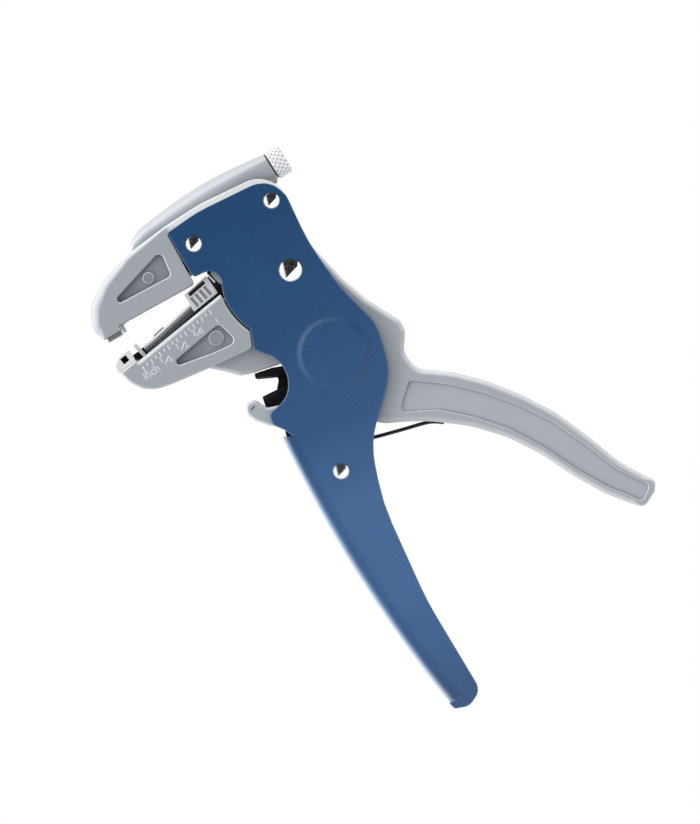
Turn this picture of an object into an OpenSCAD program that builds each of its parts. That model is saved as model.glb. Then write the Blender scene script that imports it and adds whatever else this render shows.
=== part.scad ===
// Automatic wire stripper with a wire cutter below the jaws.
// The tool lies flat: +Z is up out of its face, +X is the way the blades draw back,
// and the origin is the rear handle's pivot axis in the plane the tool rests on.

/* [Sheet steel body] */
// Thickness of the steel sheet
sheet_t = 1.5; // [1.2:0.1:2]
// Clear width between the two cheeks
gap_w = 13; // [12.8:0.1:14]
// Height of the pressed pivot discs above the cheeks
emboss_h = 0.8; // [0.6:0.1:1]
// Radius of a pressed disc at its foot
emboss_r = 10.9; // [10.4:0.1:12]
// Length of the front handle below the rear handle's pivot
front_handle_l = 108.3; // [90:1:125]
// Outer radius of the folded edge
fold_r = 3; // [2.2:0.1:4]
// How far the folded edge bows out
fold_bow = 2.6; // [1.5:0.1:4]
// Height of the head's top edge above the pivot
head_top = 54.7; // [53.5:0.1:57]
// Distance of the head's left edge from the pivot
head_left = 24.4; // [23.8:0.1:26]
// Distance of the head's right edge from the pivot
head_right = 11.8; // [11:0.1:14]
// Radius of the cutter notch in the cheeks
notch_r = 9.3; // [8.5:0.1:10]

/* [Pivots and rivets] */
// Lower jaw's pivot, to the right of the handle pivot
jaw_pivot_x = 1.3; // [0.5:0.1:2]
// Lower jaw's pivot, above the handle pivot
jaw_pivot_y = 27.3; // [26.8:0.1:28]
// Radius of the rear handle's trunnions
trunnion_r = 9.2; // [8.6:0.1:9.8]
// Running clearance of turning parts, on the radius
run_gap = 0.06; // [0.02:0.01:0.1]
// Clearance between parts that pass each other
pass_gap = 0.3; // [0.2:0.05:0.4]
// Shank radius of the main rivet
main_shank_r = 2; // [1.6:0.1:2.4]
// Head radius of the main rivet
main_head_r = 3.45; // [3:0.05:4]
// Shank radius of the jaw and spring rivets
rivet_shank_r = 1.6; // [1.2:0.1:1.7]
// Head radius of the jaw and spring rivets
rivet_head_r = 2.5; // [2.2:0.1:3]
// Height of a domed rivet head
rivet_dome_h = 1.3; // [0.8:0.1:2]

/* [Travel] */
// Turn of the rear handle when it is squeezed
handle_travel = 18; // [12:0.5:18]
// Turn of the lower jaw when it shuts
jaw_travel = 4.6; // [3:0.1:4.6]
// Travel of the length stop along its rail
stop_travel = 16; // [8:1:17]
// Thread pitch of the adjusting screw
screw_pitch = 0.7; // [0.5:0.1:0.8]
// Turns of the adjusting knob
knob_turns = 4; // [2:1:5]

/* [Upper jaw] */
// Height of the upper jaw's lower edge
mouth_y = 37.8; // [37.7:0.1:38.4]
// Reach of the upper jaw in front of the pivot
jaw_reach = 57.2; // [56.8:0.1:60]
// Width of the groove that the carriages run in
groove_w = 9.2; // [8.8:0.1:9.6]
// Height of the groove's roof
groove_roof = 44.3; // [44.2:0.05:44.5]
// Depth of the pockets in both castings
pocket_d = 1.6; // [1:0.1:1.8]
// Radius of the spring tube at its mouth
tube_mouth_r = 4.1; // [3.8:0.1:4.4]
// Radius of the spring tube at its belly
tube_belly_r = 6.1; // [5:0.1:6.4]
// Length of the spring tube, without its round end
tube_l = 44; // [40:0.5:46]
// Tilt of the spring tube to the jaw
tube_tilt = 1.5; // [0:0.5:3]
// Bore radius of the spring tube
tube_bore_r = 2.6; // [2.3:0.1:2.9]

/* [Adjuster] */
// Radius of the knurled knob
knob_r = 4.6; // [4:0.1:5.2]
// Width of the knurled knob
knob_w = 4.3; // [3.5:0.1:5.5]
// Gap between the knob and the tube
knob_gap = 0.4; // [0.3:0.1:0.6]
// Radius of the adjusting screw's thread
screw_r = 1.4; // [1.2:0.1:1.6]
// Length of the screw inside the tube
screw_l = 20; // [16:0.5:22]
// Length of the sliding nut
nut_l = 5; // [4:0.5:6]
// Wire radius of the tension spring
tension_wire_r = 0.4; // [0.3:0.05:0.5]
// Turns of the tension spring
tension_turns = 8; // [5:1:9]

/* [Lower jaw] */
// Radius of the jaw's shoulder about its pivot, in the cheeks
shoulder_r = 20.9; // [20.7:0.1:21.1]
// Gap between the shoulder and the cheeks
shoulder_gap = 0.45; // [0.3:0.05:0.6]
// Thickness of the web between the cheeks
web_t = 7; // [6:0.1:7.2]
// Radius of the jaw's hub
hub_r = 5; // [4.4:0.1:5.1]
// Slope of the jaw's top edge
jaw_slope = 9.9; // [9:0.1:10.5]

/* [Carriages] */
// Slope of the lower rail
rail_slope = 12.8; // [12:0.1:13]
// Height of the lower rail
rail_h = 3; // [2.6:0.1:3.1]
// Width of the lower rail
rail_w = 3.4; // [3:0.1:3.6]
// Depth of the rack's teeth
tooth_d = 0.5; // [0.3:0.05:0.7]
// Pitch of the rack's teeth
tooth_pitch = 0.8; // [0.6:0.1:1.2]
// Height of the upper carriage bar
bar_h = 3.5; // [2.6:0.1:3.6]
// Width of the upper carriage bar
bar_w = 5; // [4.4:0.1:5.4]
// Thickness of a carriage tail
tail_t = 3.3; // [2.8:0.1:3.4]
// Thickness of a stripping blade
blade_t = 1.1; // [0.8:0.1:1.3]
// Width of a stripping blade
blade_w = 8.4; // [7.5:0.1:8.6]
// Width of the stop slider
slider_w = 8.4; // [7.5:0.1:8.6]
// Radius of the draw pin
draw_pin_r = 1.75; // [1.4:0.05:1.8]

/* [Rear handle] */
// Length of the rear handle from pivot to tip
rear_handle_l = 102; // [88:1:112]
// Thickness of the rear handle
handle_t = 10.4; // [9:0.1:11]
// Depth of the long panel in each side of the grip
panel_d = 0.8; // [0.4:0.1:1.2]
// Width of the rim along the panel's outer side
panel_rim_out = 3.2; // [2.4:0.1:3.6]
// Width of the rim along the panel's inner side
panel_rim_in = 2.2; // [1.6:0.1:2.8]
// Thickness of a fork ear
ear_t = 2.3; // [2:0.1:2.35]
// Radius of the closing pin
closing_pin_r = 1.2; // [1:0.1:1.4]
// Outer radius of the closing roller
roller_r = 2; // [1.8:0.1:2.1]

/* [Cutter] */
// Thickness of a cutter blade
cutter_t = 2.4; // [2:0.1:2.45]
// Gap between the two cutter blades
cutter_gap = 0.1; // [0.05:0.01:0.15]
// Thickness of the hook that carries the lower blade
hook_t = 5.7; // [5:0.1:5.9]

/* [Return spring] */
// Wire radius of the return spring
return_wire_r = 0.55; // [0.45:0.05:0.6]
// Turns of the return spring
return_turns = 4; // [3:1:5]
// Mean radius of the return spring's coil
return_coil_r = 4.2; // [3.9:0.1:4.6]

/* [Hidden] */
$fn = 72;
eps = 0.05;

steel_blue = [0.20, 0.33, 0.50];
cast_grey = [0.66, 0.69, 0.72];
bright = [0.82, 0.84, 0.86];
dull_steel = [0.55, 0.57, 0.60];
black_steel = [0.09, 0.09, 0.10];

// Levels up from the resting plane
cheek_back = emboss_h;
inner_back = cheek_back + sheet_t;
inner_front = inner_back + gap_w;
cheek_front = inner_front + sheet_t;
mid_z = inner_back + gap_w / 2;
cut_z = mid_z;

// Places in the plane of the tool
jaw_pivot = [jaw_pivot_x, jaw_pivot_y];
front_rivet = [-19.3, 48];
rear_rivet = [6.6, 47.6];
spring_pivot = [-15.2, -30.8];
notch_centre = [-24, 3.4];
stop_notch_centre = [-21.6, 35.6];
stop_notch_r = 3.95;
draw_pin_at = [3, 41];
closing_pin_at = [-9.5, 11.5];
tube_mouth = [11.45, 56.45];
casting_gap = 0.25;
// Front end of the upper jaw
tip = -jaw_reach;

// Corner rounding: each corner is [x, y, radius], and may add the share of its edges it may use
arc_step = 14;
function xy(p) = [p[0], p[1]];
function unit(v) = v / norm(v);
function sweep(d) = d > 180 ? d - 360 : d < -180 ? d + 360 : d;
function arc(c, r, a, b) =
    let (n = max(2, ceil(abs(b - a) / arc_step)))
    [for (i = [0 : n]) c + r * [cos(a + (b - a) * i / n), sin(a + (b - a) * i / n)]];
function fillet(a, corner, c) =
    let (b = xy(corner), r = corner[2])
    r == undef || r <= 0 ? [b] :
    let (u = unit(a - b), v = unit(c - b), half = acos(min(1, max(-1, u * v))) / 2,
        share = corner[3] == undef ? 0.48 : corner[3],
        t = min(r / tan(half), share * norm(a - b), share * norm(c - b)),
        m = b + unit(u + v) * t / cos(half), p = b + u * t - m, q = b + v * t - m,
        a0 = atan2(p[1], p[0]))
    arc(m, norm(p), a0, a0 + sweep(atan2(q[1], q[0]) - a0));
function rounded(c) =
    let (n = len(c))
    [for (i = [0 : n - 1]) each fillet(xy(c[(i + n - 1) % n]), c[i], xy(c[(i + 1) % n]))];
function plain(points) = [for (p = points) concat(p, [0])];
function turned(p, a) = [p[0] * cos(a) - p[1] * sin(a), p[0] * sin(a) + p[1] * cos(a)];
function turned_about(p, c, a) = c + turned(p - c, a);

module plate(outline, low, high) {
    translate([0, 0, low]) linear_extrude(high - low) polygon(outline);
}
module bar_round(at, r, low, high) {
    translate([at[0], at[1], low]) cylinder(r = r, h = high - low);
}
// A slot from a to b, cut through from one level to another
module slot(a, b, r, low, high) {
    t = atan2(b[1] - a[1], b[0] - a[0]);
    plate(concat(arc(a, r, t + 90, t + 270), arc(b, r, t - 90, t + 90)), low, high);
}
// A domed head standing on a level: the cap of a ball
module dome(at, r, h, low) {
    ball = (r * r + h * h) / (2 * h);
    translate([at[0], at[1], low]) intersection() {
        translate([0, 0, h - ball]) sphere(r = ball);
        cylinder(r = r, h = h + 1);
    }
}
// A rivet through both cheeks: flat head at the back, dome in front
module rivet(at, shank_r, head_r, dome_h) {
    bar_round(at, head_r, 0, cheek_back);
    bar_round(at, shank_r, cheek_back - eps, cheek_front + eps);
    dome(at, head_r, dome_h, cheek_front);
}

// Folded edge of the front handle: an arc through its two ends
fold_top = [-25.65, -14.6];
fold_end = [-21.9, -front_handle_l + 3];
fold_chord = norm(fold_end - fold_top);
fold_big_r = (fold_chord * fold_chord / 4 + fold_bow * fold_bow) / (2 * fold_bow);
fold_half = asin(fold_chord / 2 / fold_big_r);
fold_side = unit([fold_top[1] - fold_end[1], fold_end[0] - fold_top[0]]);
fold_centre = (fold_top + fold_end) / 2 + fold_side * (fold_big_r - fold_bow);
fold_mid_a = atan2(-fold_side[1], -fold_side[0]);

// Head of a cheek, grown by g for the seat it lies in
function head_corners(g) = [
    [-head_left - g, head_top + g, 0.6],
    [-14, head_top + 1 + g, 40],
    [head_right + g, head_top - 0.8 + g, 7 + g]];
cheek_outline = rounded(concat(
    [[-head_left, 44, 0]],
    head_corners(0),
    [[9.9, 32, 60], [11.3, 16, 40], [15.2, 1.5, 13], [12.6, -10.2, 16], [9.4, -15.4, 16],
     [-3.6, -28, 26], [-9.3, -45, 60], [-12.4, -front_handle_l + 32, 90],
     [-11.9, -front_handle_l + 2, 4], [-17, -front_handle_l - 0.5, 4],
     [-21.2, -front_handle_l + 1, 1.2], [-21.8, -front_handle_l + 3.2, 0]],
    [for (i = [0 : 6]) concat(fold_centre + (fold_big_r - fold_r - 1)
        * [cos(fold_mid_a + fold_half * (1 - i / 3)), sin(fold_mid_a + fold_half * (1 - i / 3))], [0])],
    [[-23.5, -12.2, 1], [-25.7, -9.3, 2.2], [-25.2, -6, 2], [-20.2, -4.9, 2]],
    plain(arc(notch_centre, notch_r, -52, 50)),
    [[-19.5, 12.7, 0.6]],
    plain(arc(jaw_pivot, shoulder_r, 206, 171)),
    plain(arc(stop_notch_centre, stop_notch_r, -38, 76)),
    [[-23.9, 39.7, 0.6], [-head_left, 41.2, 0.6]]));

module body_shell() color(steel_blue) difference() {
    union() {
        plate(cheek_outline, cheek_back, inner_back);
        plate(cheek_outline, inner_front, cheek_front);
        folded_edge();
        bar_cone(0, emboss_r - emboss_h * 2, emboss_r, cheek_back);
        bar_cone(cheek_front, emboss_r, emboss_r - emboss_h * 2, cheek_front + emboss_h);
    }
    bar_round([0, 0], trunnion_r + run_gap, inner_back - emboss_h, inner_front + emboss_h);
    for (at = [front_rivet, rear_rivet, spring_pivot])
        bar_round(at, rivet_shank_r, -1, cheek_front + 3);
    bar_round(jaw_pivot, main_shank_r, -1, cheek_front + 3);
    for (at = post_places) bar_round(at, post_shank_r, -1, inner_back + 1);
}
module bar_cone(low, r_low, r_high, high) {
    translate([0, 0, low]) cylinder(r1 = r_low, r2 = r_high, h = high - low);
}
// The web that joins the two cheeks, with its round bends
module folded_edge() {
    outer = concat(
        arc([fold_big_r - fold_r, cheek_back + fold_r], fold_r, -90, 0),
        arc([fold_big_r - fold_r, cheek_front - fold_r], fold_r, 0, 90));
    inner = concat(
        arc([fold_big_r - fold_r, cheek_front - fold_r], fold_r - sheet_t, 90, 0),
        arc([fold_big_r - fold_r, cheek_back + fold_r], fold_r - sheet_t, 0, -90));
    lap = fold_big_r - fold_r - 2.2;
    edge = concat(outer, [[lap, cheek_front], [lap, inner_front]], inner,
        [[lap, inner_back], [lap, cheek_back]]);
    translate([fold_centre[0], fold_centre[1], 0]) rotate([0, 0, fold_mid_a - fold_half])
        rotate_extrude(angle = 2 * fold_half, $fn = 360) polygon(edge);
}

// Upper jaw: thick casting in front of the cheeks, thinner between them
casting_outline = rounded([
    [tip + 1.3, 36.8, 0.5], [tip - 0.1, 40.8, 5], [tip + 2.4, 47.2, 8], [tip + 9.7, 51.8, 12], [-37.5, 55, 16], [-head_left, head_top + 1.9, 40],
    [-12, head_top + 2.5, 40], [head_right + 1.1, head_top + 0.6, 8.4, 0.85],
    [head_right + 0.8, groove_roof, 0.8], [-head_left - casting_gap, groove_roof, 0],
    [-head_left - 0.6, mouth_y, 1], [tip + 7, mouth_y + 0.4, 0.3], [tip + 7, 36.8, 0.3]]);
seat_outline = rounded(concat([[-head_left - casting_gap, 30, 0]], head_corners(casting_gap),
    [[head_right + casting_gap, 30, 0]]));
pocket_up = rounded([[tip + 9.6, 43.8, 1], [tip + 16.7, 48.9, 12], [-29.3, 51.6, 1.5], [-29.3, 43.8, 1.2]]);
pad_low = 35.4;
pad_high = 38.6;
pad_w = 13;
guide_pin_r = 0.9;
upper_guide_at = [tip + 26.2, 42];

module in_tube(h) {
    translate([tube_mouth[0], tube_mouth[1], mid_z]) rotate([0, 0, tube_tilt])
        rotate([0, -90, 0]) translate([0, 0, h]) children();
}
// Radius of the tube grows and shrinks as half a sine wave, and ends in a half ball
tube_profile = concat([[0, 0]],
    [for (i = [0 : 16]) [tube_mouth_r + (tube_belly_r - tube_mouth_r) * sin(180 * i / 16), tube_l * i / 16]],
    [for (a = [10 : 10 : 90]) [tube_mouth_r * cos(a), tube_l + tube_mouth_r * sin(a)]]);
module pocket(outline, ring_at, ring_r) {
    for (face = [cheek_back - 1, cheek_front - pocket_d]) difference() {
        plate(outline, face, face + pocket_d + 1);
        bar_round(ring_at, ring_r, face == cheek_back - 1 ? cheek_back + pocket_d - 0.5 : face - 1,
            face == cheek_back - 1 ? cheek_front : face + 0.5);
    }
}
module upper_jaw() color(cast_grey) difference() {
    union() {
        plate(casting_outline, cheek_back, cheek_front);
        in_tube(0) rotate_extrude() polygon(tube_profile);
    }
    plate(seat_outline, inner_front, cheek_front + 1);
    plate(seat_outline, cheek_back - 1, inner_back);
    in_tube(-1) cylinder(r = tube_bore_r, h = 37);
    translate([tip + 7, 30, mid_z - groove_w / 2])
        cube([jaw_reach - head_left - 3, groove_roof - 30, groove_w]);
    translate([tip + 2.2, pad_low, mid_z - pad_w / 2]) cube([4.7, pad_high - pad_low, pad_w]);
    pocket(pocket_up, [-35.7, 46], 1.8);
    bar_round(front_rivet, rivet_shank_r, -1, cheek_front + 3);
    bar_round(rear_rivet, rivet_shank_r, -1, cheek_front + 3);
    bar_round(upper_guide_at, guide_pin_r, -1, cheek_front - 2.6);
}
module upper_grip_pad() color(dull_steel) difference() {
    translate([tip + 2.2, pad_low, mid_z - pad_w / 2]) cube([4.6, pad_high - pad_low, pad_w]);
    for (x = [2.6 : 0.9 : 6.6]) translate([tip + x, pad_low, mid_z]) rotate([0, 0, 45])
        cube([0.4, 0.4, pad_w + 1], center = true);
}
module upper_jaw_rivets() color(bright) {
    rivet(front_rivet, rivet_shank_r, rivet_head_r, rivet_dome_h);
    rivet(rear_rivet, rivet_shank_r, rivet_head_r, rivet_dome_h);
}
module upper_guide_pin() color(dull_steel)
    bar_round(upper_guide_at, guide_pin_r, cheek_back, cheek_front - 2.6);

// Main pivot: a rivet in a bush that the lower jaw turns on
bush_r = main_shank_r + 1;
module main_pivot_rivet() color(bright) {
    rivet(jaw_pivot, main_shank_r, main_head_r, rivet_dome_h + 0.3);
}
module main_pivot_bush() color(dull_steel) difference() {
    bar_round(jaw_pivot, bush_r, inner_back, inner_front);
    bar_round(jaw_pivot, main_shank_r, inner_back - 1, inner_front + 1);
}

// Return spring: coil on its rivet, one leg under the rear handle, one in the front handle
spool_r = return_coil_r - return_wire_r - pass_gap;
module spring_rivet() color(bright) {
    rivet(spring_pivot, rivet_shank_r, rivet_head_r, rivet_dome_h);
}
module spring_bush() color(dull_steel) difference() {
    bar_round(spring_pivot, spool_r, inner_back, inner_front);
    bar_round(spring_pivot, rivet_shank_r, inner_back - 1, inner_front + 1);
}
// A tube swept along points: rings of points joined by side faces, with closed ends
function ring(p, dir, r, n) =
    let (up = abs(dir[2]) > 0.9 ? [1, 0, 0] : [0, 0, 1], a = unit(cross(dir, up)), b = cross(dir, a))
    [for (i = [0 : n - 1]) p + r * (a * cos(360 * i / n) + b * sin(360 * i / n))];
module wire(path, r, n) {
    m = len(path);
    rings = [for (i = [0 : m - 1])
        each ring(path[i], unit(path[min(i + 1, m - 1)] - path[max(i - 1, 0)]), r, n)];
    sides = [for (i = [0 : m - 2], j = [0 : n - 1])
        [i * n + j, i * n + (j + 1) % n, (i + 1) * n + (j + 1) % n, (i + 1) * n + j]];
    ends = [[for (j = [n - 1 : -1 : 0]) j], [for (j = [0 : n - 1]) (m - 1) * n + j]];
    polyhedron(points = rings, faces = concat(sides, ends));
}
return_pitch = 2 * return_wire_r + 0.08;
return_low = mid_z - return_pitch * return_turns / 2;
return_leg_up = [[-6.6, -25.6], [-1.6, -27.2], [6, -29.2], [13.9, -31.3], [17.5, -33.6]];
return_leg_down = [[-20.6, -36], [-22.6, -46], [-23.4, -58]];
function at_z(p, z) = [p[0], p[1], z];
coil_start = 78;
coil_steps = 14;
coil_total = coil_start + 360 * return_turns + 100;
return_path = concat(
    [for (i = [len(return_leg_up) - 1 : -1 : 0]) at_z(return_leg_up[i], return_low)],
    [for (a = [coil_start : 360 / coil_steps : coil_total])
        [spring_pivot[0] + return_coil_r * cos(a), spring_pivot[1] + return_coil_r * sin(a),
         return_low + return_pitch * (a - coil_start) / 360]],
    [for (p = return_leg_down) at_z(p, return_low + return_pitch * (coil_total - coil_start) / 360)]);
module return_spring() color(black_steel) wire(return_path, return_wire_r, 8);

// Cutter: the upper blade stands on posts in the back cheek, the lower one rides on the hook
upper_cutter_low = cut_z - cutter_gap / 2 - cutter_t;
lower_cutter_high = cut_z + cutter_gap / 2 + cutter_t;
post_places = [[-12.7, 2.2], [-13.2, -1.2]];
post_shank_r = 1;
post_r = 1.5;
upper_cutter = rounded([[-22.95, 6.45, 0.3], [-23.4, 4.9, 0.5], [-22.5, 4.35, 0.3], [-17.6, 2.1, 0.2],
    [-17.9, 1.1, 0.3], [-19.5, -0.7, 0.3], [-18.2, -2.8, 0.5], [-10.8, -2.8, 0.5], [-10.8, 3.5, 0.5],
    [-15.2, 4.5, 2], [-17.6, 5.4, 2]]);
module upper_cutter_blade() color(black_steel) difference() {
    plate(upper_cutter, upper_cutter_low, cut_z - cutter_gap / 2);
    translate([-17.6, 2.1, cut_z - cutter_gap / 2]) rotate([0, 0, -24.5]) rotate([45, 0, 0])
        cube([14, 0.9, 0.9], center = true);
    for (at = post_places) bar_round(at, post_shank_r, upper_cutter_low - 1, cut_z + 1);
}
module cutter_posts() color(dull_steel) for (at = post_places) {
    bar_round(at, post_r, 0, cheek_back);
    bar_round(at, post_shank_r, cheek_back - eps, cut_z - cutter_gap / 2);
    bar_round(at, post_r, inner_back, upper_cutter_low);
}
lower_cutter = rounded([[-24.3, -0.55, 0.2], [-24.9, -3.4, 0.3], [-24.2, -8.8, 0.6],
    [-13.4, -8.6, 0.6], [-14.1, -1.2, 0.4]]);
cutter_screw_places = [[-21.6, -7.2], [-15.6, -6.9]];
screw_head_r = 1.3;
screw_shank_r = 0.7;
module lower_cutter_blade() color(black_steel) difference() {
    plate(lower_cutter, cut_z + cutter_gap / 2, lower_cutter_high);
    translate([-19, -0.7, lower_cutter_high]) rotate([45, 0, 0]) cube([14, 1.6, 1.6], center = true);
    for (at = cutter_screw_places) cutter_screw(at);
}
module cutter_screw(at) {
    low = cut_z + cutter_gap / 2;
    translate([at[0], at[1], low]) cylinder(r1 = screw_head_r, r2 = screw_shank_r, h = 0.8);
    bar_round(at, screw_shank_r, low + 0.8 - eps, low + hook_t - 1.2);
}
module cutter_screws() color(dull_steel) for (at = cutter_screw_places) cutter_screw(at);

// Adjuster: knob and screw turn in the tube, the nut slides and loads the spring
nut_at = 7;
nut_key_w = 1.2;
plunger_at = 30;
module adjusting_knob() color(bright) in_tube(-knob_gap - knob_w) difference() {
    union() {
        cylinder(r1 = knob_r - 0.5, r2 = knob_r, h = 0.5);
        translate([0, 0, 0.5]) cylinder(r = knob_r, h = knob_w - 1);
        translate([0, 0, knob_w - 0.5]) cylinder(r1 = knob_r, r2 = knob_r - 0.5, h = 0.5);
    }
    translate([0, 0, -1]) cylinder(r = screw_r, h = knob_w + 2);
}
module adjusting_screw() color(dull_steel) in_tube(-knob_gap) {
    translate([0, 0, -knob_w]) cylinder(r = screw_r, h = screw_l + knob_w);
    cylinder(r = tube_bore_r - run_gap, h = 3.4);
}
module adjusting_nut() color(dull_steel) in_tube(nut_at) difference() {
    cylinder(r = tube_bore_r - run_gap, h = nut_l);
    translate([0, 0, -1]) cylinder(r = screw_r + run_gap, h = nut_l + 2);
}
module tension_spring() color(dull_steel) in_tube(nut_at + nut_l + eps) {
    length = plunger_at - nut_at - nut_l - 2 * eps - 2 * tension_wire_r;
    wire([for (i = [0 : tension_turns * 10])
        [2.05 * cos(36 * i), 2.05 * sin(36 * i), tension_wire_r + length * i / (tension_turns * 10)]],
        tension_wire_r, 6);
}
module spring_plunger() color(dull_steel) in_tube(plunger_at) {
    cylinder(r = tube_bore_r - run_gap, h = 2.5);
    cylinder(r = screw_r, h = 6);
}

// Travel of the carriages follows from the draw pin's path
draw_stroke = turned(draw_pin_at, -handle_travel)[0] - draw_pin_at[0];
draw_dir = [cos(jaw_travel), sin(jaw_travel)];
draw_side = [-sin(jaw_travel), cos(jaw_travel)];
pin_in_jaw = turned_about(turned(draw_pin_at, -handle_travel), jaw_pivot, jaw_travel) - draw_pin_at;
lower_stroke = pin_in_jaw * draw_dir;
upper_slot_end = draw_pin_at + [0, turned(draw_pin_at, -handle_travel)[1] - draw_pin_at[1]];
lower_slot_end = draw_pin_at + draw_side * (pin_in_jaw * draw_side);
closing_end = turned_about(turned(closing_pin_at, -handle_travel), jaw_pivot, jaw_travel);
slot_r = draw_pin_r + pass_gap;
tail_upper_high = mid_z - 0.2;
tail_lower_low = mid_z + 0.2;

// Upper carriage: a bar in the upper groove, the blade at its front and a slotted tail
bar_low = groove_roof - 0.5 - bar_h;
blade_x = tip + 7.2;
upper_edge = 35.7;
module upper_blade_carriage() color(dull_steel) difference() {
    union() {
        plate([[blade_x + blade_t, bar_low], [-7, bar_low], [-7, bar_low + bar_h],
            [blade_x + blade_t, bar_low + bar_h]], mid_z - bar_w / 2, mid_z + bar_w / 2);
        plate([[blade_x + blade_t, mouth_y], [tip + 10.8, mouth_y + 0.4], [tip + 12.2, bar_low + 1],
            [blade_x + blade_t, bar_low + 1]], mid_z - bar_w / 2, mid_z + bar_w / 2);
        plate(rounded([[-9, bar_low, 0], [-1.2, bar_low, 1],
            [-1.2, upper_slot_end[1] - slot_r - 1.2, 2],
            [6.6, upper_slot_end[1] - slot_r - 1.2, 2], [6.6, bar_low + bar_h, 2.5],
            [-9, bar_low + bar_h, 0]]), tail_upper_high - tail_t, tail_upper_high);
    }
    blade_hole(blade_x + blade_t, 42);
    slot(draw_pin_at, upper_slot_end, slot_r, mid_z - 6, mid_z);
    slot(upper_guide_at + [0.5, 0], upper_guide_at - [draw_stroke + 0.5, 0], guide_pin_r + 0.15,
        mid_z - 6, mid_z + 6);
}
module upper_blade() color(bright) difference() {
    translate([blade_x, upper_edge, mid_z - blade_w / 2])
        cube([blade_t, groove_roof - 0.5 - upper_edge, blade_w]);
    blade_notch(blade_x, upper_edge);
    blade_hole(blade_x, 42);
}
screw_grip = 3.2;
// Half-round wire notch in a blade's cutting edge
module blade_notch(x, edge) {
    translate([x - 1, edge, mid_z]) rotate([0, 90, 0]) cylinder(r = 0.9, h = blade_t + 2);
}
module blade_hole(x, y) {
    translate([x - 1, y, mid_z]) rotate([0, 90, 0]) cylinder(r = screw_shank_r, h = screw_grip + 1);
}
module upper_blade_screw() color(dull_steel) translate([blade_x, 42, mid_z]) rotate([0, 90, 0]) {
    cylinder(r = screw_shank_r, h = blade_t + screw_grip);
    translate([0, 0, -0.2]) cylinder(r = screw_head_r, h = 0.2);
}

// Lower jaw: thick block with a groove along its top, a web and a hub between the cheeks
jaw_top_end = [-20.3, 31];
jaw_top_start = jaw_top_end + (tip + 26.7) * [cos(jaw_slope), sin(jaw_slope)];
function near_tip(x, y, r) = [jaw_top_start[0] + x, jaw_top_start[1] + y, r];
block_shoulder_r = shoulder_r + shoulder_gap;
block_outline = rounded(concat(
    [jaw_top_end, near_tip(0, 0, 0.2), near_tip(-0.55, 1.34, 0.2), near_tip(-6.35, 0.34, 0.3),
     near_tip(-5.25, -3.56, 6), near_tip(-2.95, -6.96, 6), near_tip(0.35, -8.96, 8),
     near_tip(5.35, -9.96, 12), [-34, 14.5, 20], [-21.3, 13.2, 0.8], [-19.6, 13.4, 0.8]],
    plain(arc(jaw_pivot, block_shoulder_r, 206.5, 170.2))));
pocket_low = rounded([concat(near_tip(4.55, -5.26, 0.95), [0.8]), [-24.6, 24.2, 1.4], [-22.7, 17.2, 1.6], [-30, 17.9, 20]]);
belly = rounded(concat(
    [[-24, 29.4, 0], [-13.5, 30.8, 8], [jaw_pivot_x, jaw_pivot_y + hub_r - 0.1, 0],
     [jaw_pivot_x + hub_r - 0.6, jaw_pivot_y, 0], [3.1, 21.5, 3], [-0.2, 14, 3]],
    plain(arc([0, 0], trunnion_r + 1.5, 94, 138)),
    [[-13, 5.7, 1.5], [-17.4, 6.2, 3], [-23.2, 7.25, 4], [-26.8, 8, 3], [-30, 11.2, 6],
     [-34, 14.8, 3], [-35, 19, 0]]));
rail_at = [-30.1, 33.3];
rail_start = tip + 38.9;
rail_end = 26;
lower_blade_low = -5.2;
rail_dir = [cos(rail_slope), sin(rail_slope)];
rail_side = [-sin(rail_slope), cos(rail_slope)];
function on_rail(s, up) = rail_at + s * rail_dir + up * rail_side;
module lower_jaw() color(cast_grey) difference() {
    union() {
        plate(block_outline, cheek_back, cheek_front);
        plate(belly, mid_z - web_t / 2, mid_z + web_t / 2);
        bar_round(jaw_pivot, hub_r, mid_z - web_t / 2, mid_z + web_t / 2);
        plate(guide_lug, mid_z + slider_w / 2 + pass_gap, inner_front - pass_gap);
        plate(rounded([[-13.5, 24.6, 1], [-6.5, 23.4, 1], [-6.2, 28.5, 1], [-13, 29.3, 1]]), mid_z,
            mid_z + slider_w / 2 + 2 * pass_gap);
    }
    plate([floor_at - draw_dir, floor_end, floor_end + draw_side * 12,
        floor_at - draw_dir + draw_side * 12], mid_z - groove_w / 2, mid_z + groove_w / 2);
    bar_round(jaw_pivot, bush_r + run_gap, -1, cheek_front + 1);
    slot(closing_pin_at, closing_end, roller_r + pass_gap, mid_z - 8, mid_z + 8);
    pocket(pocket_low, [-27.4, 21.1], 2.3);
    bar_round(near_tip(-3.75, -1.56, 0), grip_pin_r, -1, cheek_front - 2.5);
    bar_round(lower_guide_at, guide_pin_r, mid_z, cheek_front);
}
lower_guide_at = on_rail(22.6, -1.2);
guide_lug = rounded([[-15, 24, 1], [-5, 22, 1], [lower_guide_at[0] + 2.4, lower_guide_at[1] - 3, 4],
    [lower_guide_at[0] + 2.4, lower_guide_at[1] + 2.4, 2.2],
    [lower_guide_at[0] - 2.4, lower_guide_at[1] + 2.4, 2.2], [-14, 31, 4]]);
floor_at = on_rail(rail_start - blade_t, lower_blade_low) + [-0.3, 0] - draw_side * 0.35;
floor_end = floor_at + draw_dir * (jaw_reach - 25.2);
grip_pin_r = 0.8;

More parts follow.
